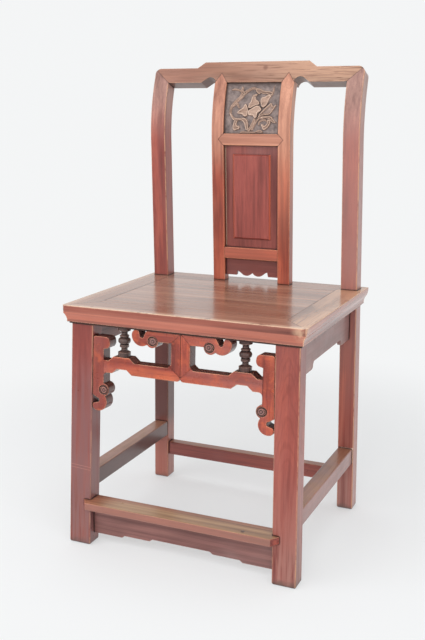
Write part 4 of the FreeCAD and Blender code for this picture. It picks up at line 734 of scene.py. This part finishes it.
# how far each shape is hollowed inside its rim, in mm
PETAL_HOLLOW = {"petal_right": 1.0, "petal_top": 0.9, "petal_left": 0.9, "bud": 1.0, "leaf_right": 1.9,
                "curl_right": 0.8, "scroll_leaf": 0.9, "curl_leaf": 0.9}
OTHER_HOLLOW = 1.3
STEMS = [
    # points, half width at start, middle and end, height
    ([(-48.1, 44.7), (-47.7, 53.4), (-44.4, 60.4), (-38.6, 67.1), (-31.9, 73.2), (-25.9, 78.6), (-20.7, 84.7),
      (-14.5, 89.9), (-7.8, 94.1), (-0.5, 96.9), (7.8, 94.7)], 2.4, 3.4, 2.2, 2.9),
    ([(-35.7, 67.1), (-32.3, 62.1), (-29.1, 56.5)], 1.8, 2.3, 1.4, 2.7),
    ([(-46.7, 57.1), (-41.0, 60.7), (-35.1, 65.5)], 1.5, 2, 1.6, 2.5),
    ([(-28.7, 75.1), (-27.2, 82.6), (-24.4, 89.4)], 1.5, 1.9, 1.4, 2.5),
    ([(-5.4, 10.4), (-1.0, 16.2), (2.4, 21.5), (4.9, 26.9), (6.6, 32.2)], 2.6, 3, 2.6, 3),
    ([(1.8, 11.3), (6.3, 19.5), (9.8, 26.5), (14.0, 32.1), (19.1, 36.8), (24.7, 40.1)], 1.4, 2, 1.4, 2.9),
    ([(16.5, 21.7), (17.6, 27.0), (21.2, 30.1), (26.5, 31.7), (31.9, 31.0), (34.7, 27.9)], 1.2, 1.9, 1, 2.3),
    ([(42.7, 83.2), (44.1, 90.7), (45.1, 100.8)], 1.6, 1.7, 0.8, 2.2),
]
VEINS = [
    [(19.0, 39.6), (25.2, 46.2), (32.8, 52.4), (41.8, 60.1)],
    [(22.4, 40.9), (31.0, 45.8), (39.0, 52.0), (45.5, 58.1)],
    [(27.7, 41.7), (36.3, 45.4), (43.4, 51.2), (49.9, 58.5)],
    [(9.5, 91.7), (15.8, 90.4), (21.9, 87.9), (29.5, 87.2), (40.3, 85.7)],
    [(-45.8, 93.7), (-36.2, 93.9), (-28.2, 91.1), (-21.2, 85.1)],
    [(-24.6, 98.3), (-23.4, 92.7), (-21.0, 87.2)],
    [(25.8, 36.8), (35.1, 37.1), (42.3, 34.5), (50.5, 27.6)],
    [(-45.1, 40.5), (-39.3, 34.4), (-31.0, 32.4), (-20.6, 32.8), (-13.6, 28.4), (-10.1, 20.2), (-8.6, 12.0)],
    [(-34.9, 28.2), (-37.0, 22.0), (-36.3, 15.4), (-31.3, 14.6)],
    [(39.9, 28.8), (37.6, 21.9), (32.5, 16.5), (28.1, 14.9)],
    [(2.7, 75.8), (1.1, 69.6), (0.4, 61.7)],
    [(22.2, 62.2), (25.6, 69.6), (33.6, 77.4)],
    [(-28.2, 47.2), (-20.7, 49.3), (-12.6, 49.7)],
]
DOTS = [
    # across, up, radius, height
    (24.1, 20.7, 2.3, 3.3),
    (15.4, 50.7, 2.9, 3.9),
    (-27.7, 15.9, 2.1, 3.1),
    (-2.3, 43.6, 2.2, 3.7),
    (-25.1, 98.7, 1.9, 2.8),
]


def smooth_path(points, closed=False, steps=8):
    """The points joined by a smooth curve through all of them."""
    p = np.array(points, float)
    p = np.vstack([p[-1], p, p[0], p[1]]) if closed else np.vstack([2 * p[0] - p[1], p, 2 * p[-1] - p[-2]])
    t = np.linspace(0, 1, steps, endpoint=False)[:, None]
    runs = [0.5 * (2 * b + (c - a) * t + (2 * a - 5 * b + 4 * c - d) * t ** 2 + (3 * b - a - 3 * c + d) * t ** 3)
            for a, b, c, d in zip(p, p[1:], p[2:], p[3:])]
    path = np.vstack(runs)
    return path if closed else np.vstack([path, p[-2]])


def near_path(x, s, path):
    """Each grid point's distance from the path, and how far along it, 0 to 1, the nearest place is."""
    best = np.full(x.shape, 1e9)
    where = np.zeros(x.shape)
    count = len(path) - 1
    for i in range(count):
        a, step = path[i], path[i + 1] - path[i]
        length = max(step @ step, 1e-9)
        t = np.clip(((x - a[0]) * step[0] + (s - a[1]) * step[1]) / length, 0, 1)
        distance = np.hypot(x - a[0] - t * step[0], s - a[1] - t * step[1])
        nearer = distance < best
        best[nearer] = distance[nearer]
        where[nearer] = ((i + t) / count)[nearer]
    return best, where


def inside(x, s, path):
    """True where a grid point lies within the closed path."""
    hit = np.zeros(x.shape, bool)
    for a, b in zip(path, np.roll(path, -1, axis=0)):
        crosses = (a[1] > s) != (b[1] > s)
        rise = b[1] - a[1] if abs(b[1] - a[1]) > 1e-9 else 1e-9
        hit ^= crosses & (x < (b[0] - a[0]) * (s - a[1]) / rise + a[0])
    return hit


def eased(value):
    """A step from 0 to 1 with soft ends."""
    value = np.clip(value, 0, 1)
    return value * value * (3 - 2 * value)


def blurred(height, rounds):
    """Each height mixed with its four neighbours, some times over."""
    for _ in range(rounds):
        padded = np.pad(height, 1, mode="edge")
        height = (padded[1:-1, 1:-1] * 4 + padded[:-2, 1:-1] + padded[2:, 1:-1]
                  + padded[1:-1, :-2] + padded[1:-1, 2:]) / 8
    return height


def carving(x, s):
    """Height of the carving over its ground, in mm."""
    height = np.zeros(x.shape)
    for points, start, middle, end, top in STEMS:
        distance, along = near_path(x, s, smooth_path(points))
        half = np.where(along < 0.5, start + (middle - start) * eased(2 * along),
                        middle + (end - middle) * eased(2 * along - 1))
        half = half * STEM_WIDER
        round_top = top * np.sqrt(np.clip(1 - (distance / half) ** 4, 0, 1))
        groove = GROOVE_DEPTH * np.exp(-(distance / (GROOVE_SHARE * half)) ** 2) * (half > GROOVED_HALF)
        height = np.maximum(height, round_top - groove * (round_top > GROOVED_HEIGHT))
    for name, outline in PETALS.items():
        path = smooth_path(outline, closed=True)
        distance, _ = near_path(x, s, np.vstack([path, path[:1]]))
        lip = LIP_HEIGHT * np.exp(-((distance - LIP_PLACE) / LIP_WIDTH) ** 2)
        shape = PETAL_HEIGHT[name] * eased(distance / PETAL_SLOPE) + lip
        shape -= PETAL_HOLLOW.get(name, OTHER_HOLLOW) * eased((distance - HOLLOW_START) / HOLLOW_SLOPE)
        height = np.where(inside(x, s, path), np.maximum(SHOW_THROUGH * height, shape), height)
    for x0, s0, radius, top in DOTS:
        distance = np.hypot(x - x0, s - s0)
        height = np.maximum(height, top * np.sqrt(np.clip(1 - (distance / radius) ** 2, 0, 1)))
    for points in VEINS:
        distance, _ = near_path(x, s, smooth_path(points))
        height = height - VEIN_DEPTH * np.exp(-(distance / VEIN_WIDTH) ** 2) * eased(height / VEIN_FULL)
    tooled = np.random.default_rng(TOOL_SEED).normal(size=x.shape)
    ground = TOOL_DEPTH * blurred(tooled, TOOL_BLUR) * (1 - eased(height / TOOL_FADE))
    return np.clip(RELIEF_SCALE * blurred(height, RELIEF_BLUR) + TOOL_SHARE * ground, RELIEF_LOW, RELIEF_HIGH)


def carved_panel():
    """The board as one closed mesh: a fine grid in front with the carving on it, plain edges and a plain back."""
    columns = int(2 * PANEL_HALF / CELL) + 1
    rows = int((PANEL_HIGH - PANEL_LOW) / CELL) + 1
    x, z = np.meshgrid(np.linspace(-PANEL_HALF, PANEL_HALF, columns), np.linspace(PANEL_LOW, PANEL_HIGH, rows))
    lean = np.arcsin((z - BEND_Z) / BOARD_FRONT)
    field = np.ones(x.shape)
    for inward in (FIELD_HALF - np.abs(x), z - FIELD_LOW, FIELD_HIGH - z):
        field = field * eased(inward / FIELD_SLOPE)
    height = carving(x, BOARD_FRONT * lean) * field
    front_y = BEND_Y - (BOARD_FRONT + height) * np.cos(lean)
    front_z = np.clip(BEND_Z + (BOARD_FRONT + height) * np.sin(lean), PANEL_LOW, PANEL_HIGH)
    back_y = BEND_Y - np.sqrt(BOARD_BACK ** 2 - (z - BEND_Z) ** 2)
    front = np.stack([x, front_y, front_z], -1).reshape(-1, 3)
    back = np.stack([x, back_y, z], -1)
    count = rows * columns
    grid = np.arange(count).reshape(rows, columns)
    low = count + np.arange(columns)
    high = low + columns
    left = np.concatenate([[low[0]], 2 * columns + count + np.arange(rows - 2), [high[0]]])
    right = np.concatenate([[low[-1]], 2 * columns + count + rows - 2 + np.arange(rows - 2), [high[-1]]])
    faces = []
    for corners in ((grid[:-1, :-1], grid[:-1, 1:], grid[1:, 1:], grid[1:, :-1]),
                    (low[:-1], low[1:], grid[0, 1:], grid[0, :-1]),
                    (grid[-1, :-1], grid[-1, 1:], high[1:], high[:-1]),
                    (left[:-1], grid[:-1, 0], grid[1:, 0], left[1:]),
                    (grid[:-1, -1], right[:-1], right[1:], grid[1:, -1]),
                    (left[1:-2], left[2:-1], right[2:-1], right[1:-2])):
        faces += np.stack(corners, -1).reshape(-1, 4).tolist()
    # the back's first and last strips meet the long edges, which have more points than it does
    faces.append([int(v) for v in (left[1], right[1], *low[::-1])])
    faces.append([int(v) for v in (right[-2], left[-2], *high)])
    mesh = bpy.data.meshes.new("carved_relief")
    points = np.vstack([front, back[0], back[-1], back[1:-1, 0], back[1:-1, -1]]) * MM
    mesh.from_pydata(points.tolist(), [], faces)
    mesh.polygons.foreach_set("use_smooth", [i < (rows - 1) * (columns - 1) for i in range(len(faces))])
    values = np.zeros(len(points), np.float32)
    values[:count] = height.ravel()
    mesh.attributes.new("relief", "FLOAT", "POINT").data.foreach_set("value", values)
    mesh.update()
    return added("carved_relief", mesh)


def carving_wood():
    """Dark ground, tan tops, a pale line where the carving's edges are rubbed, painted shade in the hollows, and
    painted shadow along the field's top and sides.
    """
    tree = Tree("wood_carved_relief")
    attribute = tree.made("Attribute")
    attribute.attribute_name = "relief"
    along = tree.placed("X", (3.1, 1.7, 0.4))
    streak = tree.drawn_out(along, 0.05, 160.0, 5.0, 0.6)
    patch = tree.noise(along, 90.0, 4.0, 0.6)
    raised = tree.ramp(streak, [(0.35, rgb(136, 109, 94)), (0.65, rgb(173, 143, 126))])
    plain = tree.ramp(streak, [(0.35, rgb(84, 50, 44)), (0.65, rgb(136, 88, 72))])
    ragged = tree.math("MULTIPLY", tree.math("SUBTRACT", patch, 0.5), 0.7)
    level = tree.math("ADD", attribute.outputs["Fac"], ragged)
    tree.colour = tree.ramp(patch, [(0.32, rgb(92, 80, 78)), (0.68, rgb(142, 125, 120))])
    tree.cover(raised, tree.span(level, 0.3, 1.4))
    tree.cover(rgb(212, 184, 166), tree.span(level, 2.4, 4.4), 0.7)
    facing_y = tree.axes(tree.geometry.outputs["Normal"])["Y"]
    tree.cover(plain, tree.span(facing_y, 0.0, 0.6))
    x, _, z = tree.axes(tree.coords)
    # painted shadow along the field's top, under the crest rail, and down its sides
    rim = tree.either(tree.span(tree.math("ABSOLUTE", x), 0.055, 0.0615), tree.span(z, 0.898, 0.910))
    tree.cover(rgb(72, 56, 53), rim, 0.55)
    # painted shade in the hollows and at the foot of the forms
    open_face = tree.open_to_light(6 * MM)
    tree.cover(rgb(66, 52, 49), tree.span(open_face, 0.85, 0.4), 0.75)
    worn_edge = tree.both(tree.span(tree.edge(1.2 * MM), 0.03, 0.2), tree.span(open_face, 0.6, 0.9))
    tree.cover(rgb(226, 198, 180), worn_edge, 0.7)
    tree.put(tree.shader.inputs["Base Color"], tree.colour)
    tree.put(tree.shader.inputs["Roughness"], tree.scaled(patch, 0.25, 0.35))
    tree.shader.inputs["Coat Weight"].default_value = 0.1
    tree.bump(streak, 0.3, 0.3 * MM)
    return tree.material


relief = carved_panel()
relief.data.materials.append(carving_wood())
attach(relief, "root")
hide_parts("carved_panel")

# Turned pieces: the buttons on the fret's scrolls and the foot rail's peg. Profiles are radius and height in mm.
BUTTON = [(0.0, 1.5), (1.2, 1.42), (2.1, 1.1), (2.7, 0.4), (3.1, 0.25), (3.6, 0.55), (4.5, 1.0), (5.4, 0.95),
          (6.2, 0.4), (6.5, -0.3), (6.5, -1.0)]
PEG = [(0.0, 0.5), (1.4, 0.45), (2.4, 0.25), (2.8, -0.1), (2.8, -1.0)]
TURN_STEPS = 40
FRET_LEAN = math.radians(3)
FRET_FACING = (0.0, -math.cos(FRET_LEAN), math.sin(FRET_LEAN))
UPWARD = (0.0, 0.0, 1.0)


def circle(radius, height, sides):
    """Points round the Z axis at a height."""
    turns = [math.tau * k / sides for k in range(sides)]
    return [(radius * math.cos(turn), radius * math.sin(turn), height) for turn in turns]


def turned(name, profile, place, facing):
    """A small turned piece: the profile swept round an axis at the place, closed under its foot."""
    points = [(0.0, 0.0, profile[0][1])]
    for radius, height in profile[1:]:
        points += circle(radius, height, TURN_STEPS)
    pairs = [(k, (k + 1) % TURN_STEPS) for k in range(TURN_STEPS)]
    faces = [(0, 1 + k, 1 + after) for k, after in pairs]
    rings = [1 + ring * TURN_STEPS for ring in range(len(profile) - 1)]
    for upper, lower in zip(rings, rings[1:]):
        faces += [(upper + k, lower + k, lower + after, upper + after) for k, after in pairs]
    faces.append([rings[-1] + k for k in reversed(range(TURN_STEPS))])
    turn = Vector(UPWARD).rotation_difference(Vector(facing)).to_matrix()
    mesh = bpy.data.meshes.new(name)
    mesh.from_pydata([tuple(turn @ (Vector(p) * MM) + Vector(place)) for p in points], [], faces)
    mesh.polygons.foreach_set("use_smooth", [True] * (len(faces) - 1) + [False])
    mesh.update()
    piece = added(name, mesh)
    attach(piece, "root")
    return piece


for name, place in BOSSES.items():
    button = turned(name.replace("fret", "button"), BUTTON, place, FRET_FACING)
    wood = Wood(button.name, "apron", "Z")
    # grime between the button's middle and its rim
    wood.cover(rgb(58, 40, 38), wood.ring(place, 0.0026, 0.0034, 0.0007), 0.8)
    button.data.materials.append(wood.finished())
peg = turned("foot_rail_peg", PEG, PEG_PLACE, UPWARD)
peg.data.materials.append(Wood(peg.name, "turning", "Z").finished())

# Stage: a pale floor that fades into a pale surround, darker in front of the chair where the room is, and soft lamps.
PAPER, FLOOR_COLOUR = (0.905, 0.915, 0.92, 1.0), (0.81, 0.825, 0.835, 1.0)
FLOOR_RADIUS, FLOOR_SIDES, FLOOR_Z = 14.0, 96, -0.0004
CHAIR_SHADOW = (-0.1, 0.35, 0.0)


class Sky(Tree):
    """The surround: paper to the eye, a bright back and a dim front to light, and bright all round to gloss."""

    def __init__(self, name):
        self.world = bpy.data.worlds.new(name)
        self.world.use_nodes = True
        self.nodes = self.world.node_tree.nodes
        self.links = self.world.node_tree.links
        self.nodes.clear()
        self.coords = self.made("TexCoord").outputs["Generated"]
        self.ray = self.made("LightPath").outputs


def joined(tree, factor, first, second):
    """One shader fading into another."""
    node = tree.made("MixShader")
    tree.put(node.inputs[0], factor)
    tree.links.new(first, node.inputs[1])
    tree.links.new(second, node.inputs[2])
    return node.outputs[0]


sky = Sky("studio")
seen = sky.made("Background", Color=PAPER)
behind = sky.span(sky.axes(sky.coords)["Y"], -0.5, 0.6)
back_light = sky.scaled(behind, 0.74, 0.26)
gloss_light = sky.scaled(behind, 0.08, 0.92)
extra = sky.math("MULTIPLY", sky.ray["Is Glossy Ray"], sky.math("SUBTRACT", gloss_light, back_light))
lit = sky.made("Background", Strength=sky.math("ADD", back_light, extra))
plain = sky.either(sky.ray["Is Camera Ray"], sky.ray["Is Transmission Ray"])
sky_out = sky.made("OutputWorld")
sky.links.new(joined(sky, plain, lit.outputs[0], seen.outputs[0]), sky_out.inputs["Surface"])
scene.world = sky.world

floor_mesh = bpy.data.meshes.new("floor")
floor_mesh.from_pydata(circle(FLOOR_RADIUS, FLOOR_Z, FLOOR_SIDES), [], [list(range(FLOOR_SIDES))])
floor = added("floor", floor_mesh)
paper = Tree("floor_paper")
paper.shader.inputs["Base Color"].default_value = FLOOR_COLOUR
paper.shader.inputs["Roughness"].default_value = 0.8
glow = paper.made("Emission", Color=PAPER)
behind = paper.span(paper.axes(paper.coords)["Y"], -0.7, 0.3)
dim = paper.made("Emission", Strength=paper.scaled(behind, 0.68, 0.3))
ray = paper.made("LightPath").outputs
far = paper.scaled(paper.span(paper.distance(CHAIR_SHADOW), 0.4, 1.1), 0.58, 0.42)
shown = paper.both(far, paper.either(ray["Is Camera Ray"], ray["Is Transmission Ray"]))
look = joined(paper, shown, paper.shader.outputs[0], glow.outputs[0])
look = joined(paper, ray["Is Glossy Ray"], look, dim.outputs[0])
paper.links.new(look, paper.nodes["Material Output"].inputs["Surface"])
floor_mesh.materials.append(paper.material)


def soft_lamp(name, place, aim, width, height, power):
    """A softbox: a wide plain lamp, not seen itself, nor as a white patch in polished wood."""
    data = bpy.data.lights.new(name, "AREA")
    data.shape = "RECTANGLE"
    data.size, data.size_y = width, height
    data.energy = power
    lamp = added(name, data)
    lamp.location = place
    lamp.rotation_euler = (Vector(aim) - Vector(place)).to_track_quat("-Z", "Y").to_euler()
    lamp.visible_camera = False
    lamp.visible_glossy = False


soft_lamp("key", (-1.3, -2.5, 1.9), (0.0, 0.0, 0.6), 4.4, 3.4, 95.0)
soft_lamp("fill", (1.8, -2.3, 1.8), (0.0, 0.0, 0.4), 3.8, 3.2, 70.0)
soft_lamp("top", (0.0, 0.3, 3.0), (0.0, 0.0, 0.4), 2.6, 2.6, 14.0)

# The photograph's camera, in the chair's own frame.
EYE = Vector((0.7329, -1.68645, 0.8698))
RIGHT = Vector((0.91386, 0.40603, 0.0))
UP = Vector((-0.09216, 0.20742, 0.97390))
BACK = Vector((0.39543, -0.89001, 0.22697))
LENS_MM, SENSOR_MM = 52.37, 36.0
camera_data = bpy.data.cameras.new("camera")
camera_data.lens = LENS_MM
camera_data.sensor_width = SENSOR_MM
camera_data.dof.use_dof = False
camera = added("camera", camera_data)
camera.matrix_world = Matrix.Translation(EYE) @ Matrix((RIGHT, UP, BACK)).transposed().to_4x4()
scene.camera = camera
scene.view_settings.view_transform = "Standard"
